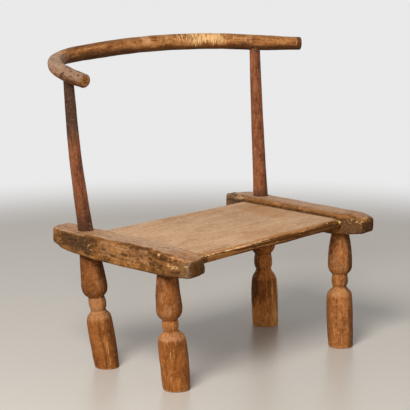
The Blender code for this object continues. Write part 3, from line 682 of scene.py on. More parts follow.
# Painted glints: pale sparks along the rounded top of the front edge.
rim_glints = ease(0.30, 0.65, cloud(grid, (0.0065, 0.004, 0.004), 15, 2)) * front_band * ease(0.1, 0.5, upward)
at_rails = ease(0.007, 0.001, np.minimum(x - SEAT_LEFT, SEAT_RIGHT - x) - 0.009)
shade = blot(grid, (-0.030, -0.148, SEAT_TOP), (0.075, 0.038, 0.03), 16, 0.6)
shade = np.maximum(shade, 0.6 * blot(grid, (-0.190, -0.150, SEAT_TOP), (0.050, 0.045, 0.03), 21, 0.6))
low_rim = ease(0.2395, 0.2374, z) * front_band * ease(-0.75, -0.35, upward)
low_rim = low_rim * (0.15 + 0.85 * ease(-0.120, -0.180, x))
frayed = upward + 0.12 * cloud(grid, (0.030, 0.006, 0.004), 23, 3)
# Painted highlight, partly wear: a pale crest along the top of the front edge.
crest = plateau(0.58, 0.76, 0.94, 0.995, frayed) * front_band * (0.18 + 0.82 * ease(0.000, -0.080, x))
hem = ease(0.2385, 0.2350, z) * front_band * ease(-0.110, -0.030, x)
golden = blot(grid, (0.150, -0.010, SEAT_TOP), (0.075, 0.100, 0.03), 17, 0.6)
splinter = blot(grid, (0.1600, -0.1765, 0.2440), (0.0045, 0.006, 0.0045), 18, 0.4)
# The underside (under) is darkened as painted shade.
soiled = 0.30 * nibbles + 0.50 * splits + 0.45 * at_rails + 0.30 * under + 0.16 * shade + 0.60 * hem
marks = {
    "rubbed": 0.90 * front_band * (1.0 - 0.7 * crest) + 0.42 * golden + 0.36 * shade,
    "soiled": soiled + (1.0 - 0.6 * low_rim) * low_face,
    "bare": 0.80 * rim_glints + splinter + 0.42 * crest,
    "grey": 0.40 * ease(0.3, 0.8, upward) * (1.0 - front_band) * (1.0 - 0.7 * shade) * (1.0 - golden),
}
piece = add_skin("seat_board_plank", grid, grid, marks, seat_wood)
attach(piece, "root")
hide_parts("seat_board")


# Legs. Four billets carved by knife into a bottle below, a beaded neck and a bulb above, no two quite alike.
# A round tenon on top goes into the rail: right through it on the front legs, where its end shows on top.

LEG_ROWS = 290
LEG_COLUMNS = 160
TENON_PROUD = 0.0003
BLIND_TENON = 0.017
MEAN_RADIUS = 0.024
FRONT_RIGHT = np.array([0.685, -0.729, 0.0])
FRONT_LEFT_WAY = math.atan2(-0.6849, -0.7286)


def through(points, count):
    """A smooth curve through the points that never swings past them: cubic Hermite pieces.

    The slope at a point is the harmonic mean of the slopes of its two steps, and none where these turn back.
    """
    points = np.asarray(points, float)
    chord = np.concatenate([[0.0], np.cumsum(np.linalg.norm(np.diff(points, axis=0), axis=1))])
    step = np.diff(points, axis=0) / np.diff(chord)[:, None]
    before = step[:-1]
    after = step[1:]
    steady = before * after > 0.0
    inner = np.where(steady, 2.0 * before * after / np.where(steady, before + after, 1.0), 0.0)
    slope = np.concatenate([step[:1], inner, step[-1:]])
    place = np.linspace(0.0, chord[-1], count)
    left = np.clip(np.searchsorted(chord, place, side="right") - 1, 0, len(points) - 2)
    gap = (chord[left + 1] - chord[left])[:, None]
    t = (place - chord[left])[:, None] / gap
    start = points[left] * (1.0 + 2.0 * t) * (1.0 - t) ** 2 + slope[left] * gap * t * (1.0 - t) ** 2
    return start + points[left + 1] * t * t * (3.0 - 2.0 * t) + slope[left + 1] * gap * t * t * (t - 1.0)


def leg_profile(sole, barrel, shoulder, waist, neck, bead, bead_top, bulb, head, swell, top):
    """Radius and height up the leg: sole, bottle, shoulder, neck, bead, heel, bulb and the head at the rail.

    The shoulder is stretched by a factor. From its widest place up, the bulb loses a power (the swell) of the
    share of the way to the rail.
    """
    tall = bead_top - neck
    wide = bead_top + 0.021
    share = np.linspace(0.2, 1.0, 5)
    upper = np.stack([bulb - (bulb - head) * share**swell, wide + (top - wide) * share], axis=1)
    return [
        (sole - 0.0008, 0.0),
        (sole - 0.0001, 0.0012),
        (sole, 0.0045),
        (0.5 * (barrel + sole), 0.020),
        (barrel, 0.060),
        (0.970 * barrel, neck - 0.0200 * shoulder),
        (0.915 * barrel, neck - 0.0116 * shoulder),
        (0.820 * barrel, neck - 0.0072 * shoulder),
        (0.660 * barrel, neck - 0.0032 * shoulder),
        (waist + 0.0010, neck - 0.0006),
        (waist, neck + 0.0012),
        (0.965 * bead, neck + 0.30 * tall),
        (bead, neck + 0.52 * tall),
        (0.970 * bead, neck + 0.78 * tall),
        (0.905 * bead, bead_top - 0.0006),
        (0.700 * bulb, bead_top + 0.0022),
        (0.800 * bulb, bead_top + 0.0046),
        (0.915 * bulb, bead_top + 0.0088),
        (0.985 * bulb, bead_top + 0.0144),
        (bulb, wide),
        *upper,
    ]


def facets(angle, sides, turn):
    """Radius of a regular polygon whose corners lie on the unit circle."""
    step = 2.0 * np.pi / sides
    return np.cos(0.5 * step) / np.cos((angle + turn) % step - 0.5 * step)


def normed(vectors):
    """The same directions at a length of 1."""
    return vectors / np.linalg.norm(vectors, axis=-1, keepdims=True)


def drum(angle, height):
    """Points on a drum of radius 1, as rows up and columns round: cosine, sine and height."""
    return np.stack(np.broadcast_arrays(np.cos(angle), np.sin(angle), height[:, None]), axis=-1)


def spokes(angle, side, back):
    """Unit vectors round an axis: the side times the cosine of each angle, plus the back times its sine."""
    return np.cos(angle)[:, None] * side[..., None, :] + np.sin(angle)[:, None] * back[..., None, :]


def leg_grid(foot, seat, slope, profile, sway, end, rail, seed):
    """The leg as rows up its axis, sole, shaft and tenon, with the polar place and height of each point.

    The turned profile is cut by knife facets that wander with height: many and soft on bottle and bulb, few
    and firm on neck and bead. The axis sways by a little to the front right, given at the foot, the bottle,
    its shoulder, the bead and twice on the bulb. A tenon that goes right through is cut level with the
    rail's top, which falls forward.
    """
    foot = np.asarray(foot, float)
    seat = np.asarray(seat, float)
    reach = np.linalg.norm(seat - foot)
    axis = (seat - foot) / reach
    neck = profile["neck"]
    bead_top = profile["bead_top"]
    curve = through(leg_profile(top=reach, **profile), LEG_ROWS)
    sole = np.linspace(0.06, 1.0, 9)[:-1]
    sole = np.stack([sole * curve[0, 0], 0.0 * sole], axis=1)
    ledge = np.stack([np.linspace(profile["head"], TENON_RADIUS, 4)[1:], np.full(3, reach + 0.0015)], axis=1)
    stub = np.stack([np.full(8, TENON_RADIUS), np.linspace(reach + 0.0015, end, 9)[1:]], axis=1)
    disc = np.linspace(1.0, 0.06, 9)[1:]
    disc = np.stack([TENON_RADIUS * disc, np.full(8, end)], axis=1)
    rows = np.concatenate([sole, curve, ledge, stub, disc])
    radius = rows[:, :1]
    height = rows[:, 1:]
    angle = run(0.0, 2.0 * np.pi, LEG_COLUMNS)
    unit = drum(angle, rows[:, 1] / 0.05)
    wander = angle + 0.16 * lattice_noise(unit, (0.9, 0.9, 0.8), seed)
    carved = ease(reach + 0.001, reach - 0.004, height)
    beaded = plateau(neck - 0.003, neck + 0.002, bead_top - 0.001, bead_top + 0.003, height)
    soft = facets(wander, 10 + seed % 3, seed)
    firm = facets(wander, 8, 2.0 * seed)
    cut = 1.0 - 0.45 * (1.0 - soft) * (1.0 - beaded) - 0.60 * (1.0 - firm) * beaded
    lumps = 1.0 + 0.012 * np.cos(2.0 * angle + seed) + 0.009 * lattice_noise(unit, (0.8, 0.8, 0.7), seed + 5)
    radius = radius * (1.0 + carved * (cut * lumps - 1.0))
    side = normed(np.cross((0.0, 1.0, 0.0), axis))
    stations = [0.0, 0.042, neck - 0.020, 0.5 * (neck + bead_top), bead_top + 0.024, bead_top + 0.046, reach]
    aside = np.interp(height, stations, [*sway, 0.0])[..., None] * FRONT_RIGHT
    ring = spokes(angle, side, np.cross(axis, side))
    grid = foot + height[..., None] * axis + aside + radius[..., None] * ring
    tilt = slope * (grid[..., 1] - seat[1]) * ease(0.72 * reach, reach, height)
    grid[..., 2] = grid[..., 2] + tilt * ease(end + 0.001, reach + 0.004, height)
    if end > RAIL_TOP:
        fall = rail["front"] + FALL_SHARE * (rail["rear"] - rail["front"])
        heights = [rail["level"] - rail["droop"], rail["level"]]
        rail_top = np.interp(grid[..., 1], [rail["front"], fall], heights)
        level = ease(reach + 0.010, end, height)
        grid[..., 2] = grid[..., 2] * (1.0 - level) + (rail_top + TENON_PROUD) * level
    drop = ease(0.03, 0.0, height)
    grid[..., 2] = grid[..., 2] * (1.0 - drop) + height * axis[2] * drop
    return grid, np.broadcast_to(angle, grid.shape[:2]), np.broadcast_to(height, grid.shape[:2])


# On the legs the pale flecks (fleck) are partly painted glints.
LEG_FINISH = dict(
    tones=((0.180, 0.052, 0.010), (0.335, 0.107, 0.023), (0.480, 0.175, 0.044)), spread=0.105,
    rubbed=(0.56, 0.245, 0.090), bare=(0.66, 0.36, 0.13),
    soil=(0.060, 0.019, 0.005), grey=(0.40, 0.240, 0.140),
    streak=(0.055, 0.0050, 0.0050), patch=(0.036, 0.018, 0.018), chip=(0.0160, 0.0016, 0.0016),
    fibre=0.42, worn=0.30, fleck=0.36, ragged=0.9, rough=0.47, gloss=0.06, relief=0.0013,
)
leg_wood = aged_wood("carved_leg_wood", **LEG_FINISH)
# A brighter copy of the leg finish for the rear right leg: painted light for the shade it stands in.
PAINTED_LIGHT_LEG_FINISH = {**LEG_FINISH, "rubbed": (0.80, 0.300, 0.075), "bare": (0.95, 0.48, 0.15)}
painted_light_leg_wood = aged_wood("painted_light_leg_wood", **PAINTED_LIGHT_LEG_FINISH)
# Per leg: the age level darkens and the rub level lightens the whole leg; on the two right legs the low age
# and high rub are partly painted light. The right level is painted shade on the flank toward the front right.
LEGS = {
    "front_left_leg": dict(
        foot=(-0.23894, -0.13185, 0.0), seat=(-0.25194, -0.12385, 0.2135), slope=0.0, through_rail=True,
        sway=(0.0012, 0.0009, -0.0005, -0.0018, -0.0012, -0.0018),
        age=0.20, rub=0.04, bead_rub=0.30, right=0.16,
        profile=dict(sole=0.0244, barrel=0.0258, shoulder=1.0, waist=0.0127, neck=0.1070,
                     bead=0.0150, bead_top=0.1290, bulb=0.0232, head=0.0182, swell=1.3),
    ),
    "rear_left_leg": dict(
        foot=(-0.22794, 0.05515, 0.0), seat=(-0.25194, 0.07315, 0.21676), slope=0.15, through_rail=False,
        sway=(-0.0006, -0.0010, -0.0018, -0.0005, -0.0014, -0.0008),
        age=0.32, rub=0.05, bead_rub=0.95, right=0.34,
        profile=dict(sole=0.0226, barrel=0.0240, shoulder=1.0, waist=0.0136, neck=0.1085,
                     bead=0.0160, bead_top=0.1362, bulb=0.0238, head=0.0190, swell=1.1),
    ),
    "front_right_leg": dict(
        foot=(0.17306, -0.17335, 0.0), seat=(0.19206, -0.15135, 0.2175), slope=-0.05, through_rail=True,
        sway=(-0.0009, -0.0018, -0.0024, -0.0013, -0.0003, 0.0),
        age=-0.16, rub=0.38, bead_rub=0.0, right=0.20,
        profile=dict(sole=0.0234, barrel=0.0256, shoulder=1.0, waist=0.0134, neck=0.1135,
                     bead=0.0162, bead_top=0.1385, bulb=0.0234, head=0.0158, swell=2.2),
    ),
    "rear_right_leg": dict(
        foot=(0.19206, 0.03665, 0.0), seat=(0.19206, 0.04765, 0.21866), slope=0.10, through_rail=False,
        sway=(0.0, -0.0002, 0.0007, -0.0007, 0.0, 0.0),
        age=-0.16, rub=0.28, bead_rub=0.28, right=0.30,
        profile=dict(sole=0.0260, barrel=0.0267, shoulder=1.4, waist=0.0150, neck=0.1110,
                     bead=0.0182, bead_top=0.1440, bulb=0.0252, head=0.0180, swell=1.6),
    ),
}
for seed, (name, leg) in enumerate(LEGS.items(), start=1):
    rise = np.linalg.norm(np.subtract(leg["seat"], leg["foot"]))
    upright = (leg["seat"][2] - leg["foot"][2]) / rise
    rail = RAILS["left_rail" if leg["seat"][0] < 0.0 else "right_rail"]
    end = rail["level"] / upright + TENON_PROUD if leg["through_rail"] else rise + BLIND_TENON
    shape = leg["foot"], leg["seat"], leg["slope"], leg["profile"], leg["sway"]
    grid, angle, height = leg_grid(*shape, end, rail, seed)
    neck = leg["profile"]["neck"]
    bead_top = leg["profile"]["bead_top"]
    normal = outward(grid)
    shaft = plateau(0.0, 0.004, rise - 0.006, rise, height)
    around = np.stack([np.cos(angle) * MEAN_RADIUS, np.sin(angle) * MEAN_RADIUS, height], axis=-1)
    strokes = 0.00032 * (1.0 - 2.4 * np.abs(cloud(around, (0.010, 0.010, 0.045), seed + 50, 2)))
    nicks = ease(0.45, 0.8, cloud(around, (0.0045, 0.0045, 0.010), seed + 60, 2))
    lift = strokes - 0.0004 * nicks
    split = np.zeros(height.shape)
    ridge = np.zeros(height.shape)
    if name == "rear_left_leg":
        drift = 0.03 + 0.06 * np.sin(70.0 * height) - 0.6 * (height - 0.05)
        away = (angle - FRONT_LEFT_WAY - drift + np.pi) % (2.0 * np.pi) - np.pi
        low = ease(neck - 0.008, neck - 0.026, height)
        split = np.exp(-((away / 0.13) ** 2)) * low
        ridge = np.exp(-(((away - 0.30) / 0.12) ** 2)) * low
        lift = lift - 0.0007 * split - 0.0009 * np.exp(-((away / 0.34) ** 2)) * low + 0.0003 * ridge
    grid = grid + normal * (shaft * lift)[..., None]
    curve = bend(grid, outward(grid), 2)
    on_bead = plateau(neck - 0.004, neck + 0.002, bead_top - 0.003, bead_top + 0.002, height)
    shoulder = plateau(neck - 0.022, neck - 0.010, neck - 0.004, neck + 0.002, height)
    bulb = ease(bead_top, bead_top + 0.010, height)
    sole_rim = ease(0.007, 0.001, height + 0.003 * cloud(around, 0.012, seed + 80, 2))
    under_rail = plateau(rise - 0.010, rise - 0.001, rise + 0.01, rise + 0.02, height)
    tenon_end = ease(end - 0.002, end - 0.0005, height)
    scratches = ease(0.36, 0.70, cloud(around, (0.0022, 0.0022, 0.034), seed + 70, 2)) * (1.0 - 0.5 * bulb)
    crest = ease(60.0, 170.0, curve)
    hollow = ease(-40.0, -160.0, curve)
    blotches = ease(0.0, 0.6, cloud(around, (0.016, 0.016, 0.022), seed + 90, 3))
    pale_patches = ease(-0.15, 0.55, cloud(around, (0.009, 0.009, 0.012), seed + 97, 4)) * bulb
    smear = 0.14 * cloud(around, (0.012, 0.012, 0.030), seed + 98, 3)
    rightward = FRONT_RIGHT[0] * np.cos(angle) + FRONT_RIGHT[1] * np.sin(angle) + smear
    rubbed = leg["bead_rub"] * on_bead + 0.40 * shoulder + 0.20 * crest + 0.30 * sole_rim
    rubbed = rubbed + 0.20 * ridge + leg["rub"]
    # Painted shade, besides grime and wear: the hollows, the band just under the rail (under_rail) and, by
    # each leg's right level, the flank toward the front right.
    soiled = 0.22 * split + 0.18 * hollow + 0.12 * nicks + 0.6 * under_rail + 0.16 * blotches
    soiled = soiled + 0.24 * bulb - 0.16 * pale_patches + leg["age"] + leg["right"] * ease(0.35, 1.05, rightward)
    bare = 0.42 * scratches + 0.2 * crest * (1.0 - bulb) + 0.15 * ridge
    # The grey on the bulbs (bulb, pale_patches) is partly weathering and partly painted sheen.
    grey = 0.25 * sole_rim + tenon_end + 0.42 * shoulder + 0.17 * bulb + 0.27 * pale_patches
    grey = grey + 0.4 * leg["bead_rub"] * on_bead
    if name == "front_left_leg":
        # Painted sheen: the front left leg's bulb is greyer and paler on its left flank.
        pale_side = ease(0.10, 0.80, -rightward) * bulb
        grey = grey + 0.08 * pale_side
        soiled = soiled - 0.04 * pale_side
    if name == "front_right_leg":
        to_front_left = FRONT_RIGHT[1] * np.cos(angle) - FRONT_RIGHT[0] * np.sin(angle)
        # Painted shade: the front right leg is darkened on both flanks, the left one below the bulb.
        soiled = soiled + 0.55 * ease(0.30, 0.90, -rightward) * (1.0 - bulb)
        soiled = soiled + 0.62 * ease(0.20, 0.75, rightward) * ease(-0.55, 0.45, to_front_left)
    if name == "rear_right_leg":
        # Painted light and shade on the rear right leg: its left flank darkened and its right flank
        # lightened, pale glints streaked down the right flank, and a golden foot that is partly wear and
        # partly painted light.
        right_side = ease(-0.1, 0.5, rightward)
        golden = ease(0.066, 0.020, height + 0.03 * cloud(around, (0.010, 0.010, 0.030), 96, 2))
        right_glints = ease(0.05, 0.45, cloud(around, (0.0045, 0.0045, 0.040), 95, 2)) * right_side
        right_glints = right_glints * ease(neck, neck - 0.03, height)
        rubbed = rubbed + 0.60 * golden + 0.30 * right_glints
        bare = bare + 0.40 * golden + 0.40 * right_glints
        soiled = soiled + 1.10 * ease(-0.05, -0.75, rightward) * (1.0 - golden) - 0.34 * right_side
        grey = grey - 0.3
    marks = dict(rubbed=rubbed, soiled=soiled, bare=bare, grey=grey)
    axis_grain = np.stack([height, grid[..., 0], grid[..., 1]], axis=-1)
    wood = painted_light_leg_wood if name == "rear_right_leg" else leg_wood
    piece = add_skin(name + "_carved", grid, axis_grain, marks, wood)
    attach(piece, "root")
    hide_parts(name)


# Back posts. Two slender sticks of dark red wood, shaved round and tapered, smooth and glossy from hands.
# A tenon at the foot stands in the top of the rail, and one at the head goes up into the back rail.

POST_TENON_RADIUS = 0.009
HEAD_TENON_RADIUS = 0.0065
POST_TENON_DEPTH = 0.019
HEAD_TENON_RISE = 0.006
POST_SUNK = 0.010
POST_SEAT = 0.0085
POST_ROWS = 300
POST_COLUMNS = 72
HANDLE_SHARE = 2.5614


def bent_line(points, count):
    """A Bezier line through the points, its handles along the mean direction of the two neighbouring steps.

    A handle is as long as its step over 2.5614 times the length of the two unit steps' sum.
    """
    points = np.asarray(points, float)
    padded = np.concatenate([[2.0 * points[0] - points[1]], points, [2.0 * points[-1] - points[-2]]])
    before = points - padded[:-2]
    after = padded[2:] - points
    before_length = np.linalg.norm(before, axis=1, keepdims=True)
    after_length = np.linalg.norm(after, axis=1, keepdims=True)
    tangent = before / before_length + after / after_length
    tangent = tangent / (np.linalg.norm(tangent, axis=1, keepdims=True) * HANDLE_SHARE)
    arriving = points - tangent * before_length
    leaving = points + tangent * after_length
    place = np.linspace(0.0, len(points) - 1.0, count)
    piece = np.minimum(place.astype(int), len(points) - 2)
    t = (place - piece)[:, None]
    line = (1.0 - t) ** 3 * points[piece] + 3.0 * (1.0 - t) ** 2 * t * leaving[piece]
    return line + 3.0 * (1.0 - t) * t * t * arriving[piece + 1] + t**3 * points[piece + 1]


def even_line(points, lengths):
    """The bent line through the points at the given distances along it, and its direction there."""
    fine = bent_line(points, 4001)
    walked = np.concatenate([[0.0], np.cumsum(np.linalg.norm(np.diff(fine, axis=0), axis=1))])
    line = np.stack([np.interp(lengths, walked, fine[:, k]) for k in range(3)], axis=-1)
    step = np.gradient(fine, walked, axis=0)
    along = np.stack([np.interp(lengths, walked, step[:, k]) for k in range(3)], axis=-1)
    return line, normed(along), walked[-1]


post_wood = aged_wood(
    "shaved_post_wood",
    tones=((0.094, 0.028, 0.012), (0.232, 0.071, 0.025), (0.352, 0.123, 0.048)), spread=0.090,
    rubbed=(0.40, 0.140, 0.047), bare=(0.44, 0.28, 0.17),
    soil=(0.036, 0.014, 0.007), grey=(0.095, 0.050, 0.030),
    streak=(0.080, 0.0034, 0.0034), patch=(0.040, 0.014, 0.014), chip=(0.0060, 0.0026, 0.0026),
    fibre=0.5, worn=0.4, fleck=0.24, ragged=1.5, rough=0.42, gloss=0.13, relief=0.0004,
)
POSTS = {
    "left_post": dict(base=(-0.24794, 0.08765, 0.256), head=(-0.26694, 0.10865, 0.5413), bow=0.0055,
                      thick=0.0142, thin=0.0094, dirt_and_shade=0.062, age=0.84, dim=0.24, grey=0.22),
    "right_post": dict(base=(0.19806, 0.05665, 0.256), head=(0.20606, 0.08265, 0.5608), bow=0.001,
                       thick=0.0146, thin=0.0106, dirt_and_shade=0.030, age=0.15, dim=0.0, grey=0.0),
}
BACK_BEND_RADIUS = 0.0139
for seed, (name, post) in enumerate(POSTS.items(), start=1):
    base = np.array(post["base"])
    head = np.array(post["head"])
    middle = 0.5 * (base + head) + np.array([0.0, post["bow"], 0.0])
    total = np.linalg.norm(middle - base) + np.linalg.norm(head - middle) + POST_SUNK
    neck_at = total - BACK_BEND_RADIUS + 0.004
    shaft = np.linspace(POST_SEAT, neck_at, POST_ROWS)
    taper = post["thick"] + (post["thin"] - post["thick"]) * shaft / total + 0.0006 * ease(0.050, 0.0, shaft)
    foot_peg = np.linspace(POST_SUNK - POST_TENON_DEPTH, POST_SEAT, 6)
    head_peg = np.linspace(neck_at, total + HEAD_TENON_RISE, 6)
    shrink = np.linspace(0.1, 1.0, 5)
    place = np.concatenate([0.0 * shrink + foot_peg[0], foot_peg, shaft, head_peg,
                            0.0 * shrink + head_peg[-1]])
    radius = np.concatenate([shrink * POST_TENON_RADIUS, 0.0 * foot_peg + POST_TENON_RADIUS, taper,
                             0.0 * head_peg + HEAD_TENON_RADIUS, shrink[::-1] * HEAD_TENON_RADIUS])
    points = [base - POST_SUNK * normed(head - base), middle, head]
    line, along, length = even_line(points, np.clip(place, 0.0, total))
    line = line + along * (place - np.clip(place, 0.0, length))[:, None]
    side = normed(np.cross((0.0, 1.0, 0.0), along))
    angle = run(0.0, 2.0 * np.pi, POST_COLUMNS)
    unit = drum(angle, place / 0.06)
    wander = angle + 0.2 * lattice_noise(unit, (0.9, 0.9, 0.8), seed)
    shaved = plateau(POST_SEAT, POST_SEAT + 0.002, neck_at - 0.002, neck_at, place)[:, None]
    cut = 1.0 - 0.5 * (1.0 - facets(wander, 8, seed)) + 0.022 * lattice_noise(unit, (0.8, 0.8, 0.4), seed + 7)
    around = radius[:, None] * (1.0 + shaved * (cut - 1.0))
    grid = line[:, None, :] + around[..., None] * spokes(angle, side, np.cross(along, side))
    up = np.broadcast_to(place[:, None], grid.shape[:2])
    # Painted contact shade, partly grime: the post is darkened just above the rail, over the post's given
    # reach (at_rail), and just below the back rail (at_back).
    at_rail = ease(POST_SEAT + post["dirt_and_shade"], POST_SEAT + 0.003, up)
    at_back = ease(neck_at - 0.016, neck_at - 0.006, up)
    worn = ease(0.1, 0.7, cloud(unit, (1.1, 1.1, 0.5), seed + 11, 3))
    ragged = 0.060 * cloud(unit, (0.5, 0.5, 0.9), seed + 15, 3)
    aged = post["age"] * ease(0.54 * total, 0.76 * total, up + ragged)
    # Painted shade: the left post is darkened on its flank toward -X (dim).
    dim = post["dim"] * ease(0.1, -0.5, np.cos(angle))
    marks = {
        "rubbed": 0.45 * ease(-0.1, 0.6, lattice_noise(unit, (0.7, 0.7, 1.2), seed + 3)) * (1.0 - aged),
        "soiled": 0.62 * at_rail + 0.40 * at_back + 0.24 * worn + 0.62 * aged + dim,
        "bare": 0.26 * ease(0.2, 0.7, cloud(unit, (0.9, 0.9, 0.35), seed + 13, 3)),
        "grey": aged + post["grey"],
    }
    grain = np.stack([up, grid[..., 0], grid[..., 1]], axis=-1)
    piece = add_skin(name + "_shaved", grid, grain, marks, post_wood)
    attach(piece, "root")
    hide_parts(name)


# Back rail. A natural branch, barked and bent to a bow, golden where hands and backs rub it and dark below.
# It sits on both posts and runs past them as two short arms. A scuffed patch shows where it is worn most.

BACK_POINTS = (
    (-0.27394, 0.05665, 0.53454), (-0.26694, 0.10865, 0.54130), (-0.24396, 0.16568, 0.54898),
    (-0.19599, 0.20575, 0.55536), (-0.09430, 0.20516, 0.56220), (0.04524, 0.18149, 0.56587),
    (0.15640, 0.12638, 0.56408), (0.20606, 0.08265, 0.56080), (0.28006, 0.02665, 0.55702),
)
BACK_RADII = (0.0128, 0.0139, 0.0139, 0.0139, 0.0152, 0.0157, 0.0157, 0.0152, 0.0126)
BACK_PLACES = (0.0, 0.053, 0.1167, 0.1811, 0.2838, 0.4261, 0.5507, 0.6175, 0.7103)
BACK_TIP_ROUND = 0.0030
PIN_HOLE = (-0.0135, 0.0034, 0.0)
BACK_ROWS = 820
BACK_COLUMNS = 112
back_wood = aged_wood(
    "handled_branch_wood",
    tones=((0.140, 0.043, 0.010), (0.340, 0.128, 0.034), (0.525, 0.240, 0.075)), spread=0.095,
    rubbed=(0.585, 0.298, 0.122), bare=(0.82, 0.49, 0.215),
    soil=(0.042, 0.013, 0.004), grey=(0.300, 0.212, 0.152),
    streak=(0.050, 0.0050, 0.0050), patch=(0.038, 0.012, 0.012), chip=(0.0021, 0.0200, 0.0200),
    fibre=0.4, worn=0.25, fleck=0.14, ragged=1.2, rough=0.45, gloss=0.12, relief=0.0006,
)
branch_length = even_line(BACK_POINTS, np.zeros(1))[2]
tips = (BACK_TIP_ROUND, BACK_TIP_ROUND)
place, shy, shrink = rounded_ends(branch_length, tips, BACK_ROWS, turns=7, caps=9, smallest=0.06)
radius = (np.interp(place, BACK_PLACES, BACK_RADII) - shy) * shrink
line, along, branch_length = even_line(BACK_POINTS, place)
side = normed(np.cross(along, (0.0, 0.0, 1.0)))
angle = run(0.0, 2.0 * np.pi, BACK_COLUMNS)[::-1]
ring = spokes(angle, side, np.cross(side, along))
unit = drum(angle, place / 0.03)
lump = 0.024 * lattice_noise(unit, (1.3, 1.3, 0.9), 3) + 0.014 * lattice_noise(unit, (0.7, 0.7, 0.4), 4)
spot = np.broadcast_to(place[:, None], lump.shape)
core = np.broadcast_to(shrink[:, None], lump.shape)
height = ring[..., 2]
girth = np.stack([spot, 0.015 * unit[..., 0] * core, 0.015 * unit[..., 1] * core], axis=-1)
wrinkles = ease(0.10, 0.6, cloud(girth, (0.010, 0.03, 0.03), 9, 2)) * plateau(0.06, 0.10, 0.16, 0.22, spot)
bumps = 0.0003 * cloud(girth, (0.03, 0.006, 0.006), 10, 2) - 0.0004 * wrinkles
tip = np.minimum(spot, branch_length - spot)
stand = radius[:, None] * (0.990 + lump) + bumps * ease(0.0, 0.006, tip)
grid = line[:, None, :] + stand[..., None] * ring
hole = np.linalg.norm((grid - np.array(BACK_POINTS[1]) - PIN_HOLE) / 0.0050, axis=-1)
grid = grid - (0.0011 * ease(1.0, 0.55, hole))[..., None] * ring
grid = np.clip(grid, np.array(cad_low) + 0.0001, np.array(cad_high) - 0.0001)
ragged = cloud(girth, (0.035, 0.02, 0.02), 11, 3)
left_bow = plateau(0.17, 0.21, 0.32, 0.37, spot)
# Painted shade: the underside of the branch is darkened (under), more on the lower half of the left bow and
# near the right post (shaded).
under = ease(0.05, -0.60, height + 0.35 * ragged)
shaded = ease(0.55, -0.15, height + 0.45 * ragged) * left_bow
shaded = shaded + 0.7 * ease(0.35, -0.25, height + 0.35 * ragged) * ease(0.55, 0.59, spot)
strip = girth * (1.0, 0.0, 0.0)
pale = blot(strip, (0.3834, 0.0, 0.0), (0.0165, 1.0, 1.0), 12, 0.3) * ease(-0.35, 0.25, height)
pale_right = blot(strip, (0.602, 0.0, 0.0), (0.0085, 1.0, 1.0), 13, 0.3) * ease(-0.2, 0.4, height)
hem = lattice_noise(girth, (0.0035, 0.05, 0.05), 5)
scuffed = plateau(0.455, 0.500, 0.540, 0.560, spot) * ease(-0.75, -0.05, height + 0.4 * hem)
flecked = plateau(0.385, 0.430, 0.555, 0.600, spot) * ease(-0.25, 0.30, height + 0.3 * hem)
dark_tip = ease(0.0106, 0.0094, branch_length - spot)
cut_line = ease(0.0022, 0.0006, np.abs(branch_length - spot - 0.0112)) * ease(-0.6, 0.2, height)
on_cap = ease(0.999, 0.97, core)
pith = on_cap * ease(0.50, 0.20, core)
rim = on_cap * ease(0.60, 0.85, core)
left_grey = ease(0.225, 0.135, spot)
left_arm = ease(0.085, 0.045, spot) * (1.0 - on_cap)
right_arm = ease(0.585, 0.62, spot)
specks = ease(0.00, 0.45, cloud(girth, (0.0080, 0.0036, 0.0036), 14, 3)) * ease(0.30, 0.18, spot)
top_stripe = plateau(0.55, 0.60, 0.595, 0.605, spot) * ease(0.0, 0.6, height)
crown = ease(0.62, 0.92, height + 0.25 * ragged) * ease(0.16, 0.20, spot) * (1.0 - scuffed) * (1.0 - on_cap)
rubbed = 0.60 * pale + 0.34 * pale_right + 0.25 * rim
rubbed = rubbed + (0.22 * ease(0.33, 0.43, spot) - 0.12 * right_arm) * (1.0 - under)
soiled = (0.70 * under + 0.48 * shaded) * (1.0 - 0.75 * left_grey) + 0.35 * wrinkles + 0.35 * pith
soiled = soiled + 0.85 * dark_tip * (1.0 - cut_line) + 0.95 * ease(0.95, 0.6, hole) + 0.22 * top_stripe
soiled = soiled + 0.15 * on_cap + 0.34 * crown + 0.50 * specks
soiled = soiled + 0.42 * left_arm - 0.14 * right_arm + 0.23 * left_bow
marks = {
    "rubbed": rubbed,
    "soiled": soiled,
    "bare": 0.46 * scuffed + 0.22 * flecked + 0.42 * cut_line + 0.10 * rim,
    "grey": 0.62 * left_grey * ease(-0.6, 0.3, height) * (1.0 - on_cap),
}
piece = add_skin("back_rail_branch", grid, girth, marks, back_wood)
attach(piece, "root")
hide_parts("back_rail")


# Pins. A small whittled peg of dark wood across each post's head, driven from the back rail's outer side.
# Only the end shows, a little sunk and blackened, in a hole with a broken rim.

PIN_RADIUS = 0.0023
PIN_INNER = 0.009
PIN_ROWS = 24
PIN_COLUMNS = 28
PIN_CAP = 5
pin_wood = aged_wood(
    "blackened_peg_wood",
    tones=((0.020, 0.010, 0.006), (0.055, 0.027, 0.015), (0.105, 0.055, 0.030)), spread=0.100,
    rubbed=(0.16, 0.085, 0.045), bare=(0.40, 0.26, 0.14),
    soil=(0.016, 0.009, 0.006), grey=(0.12, 0.09, 0.07),
    streak=(0.010, 0.0008, 0.0008), patch=(0.006, 0.002, 0.002), chip=(0.0010, 0.0010, 0.0010),
    fibre=0.5, worn=0.3, fleck=0.0, ragged=1.5, rough=0.62, gloss=0.30, relief=0.0003,
)
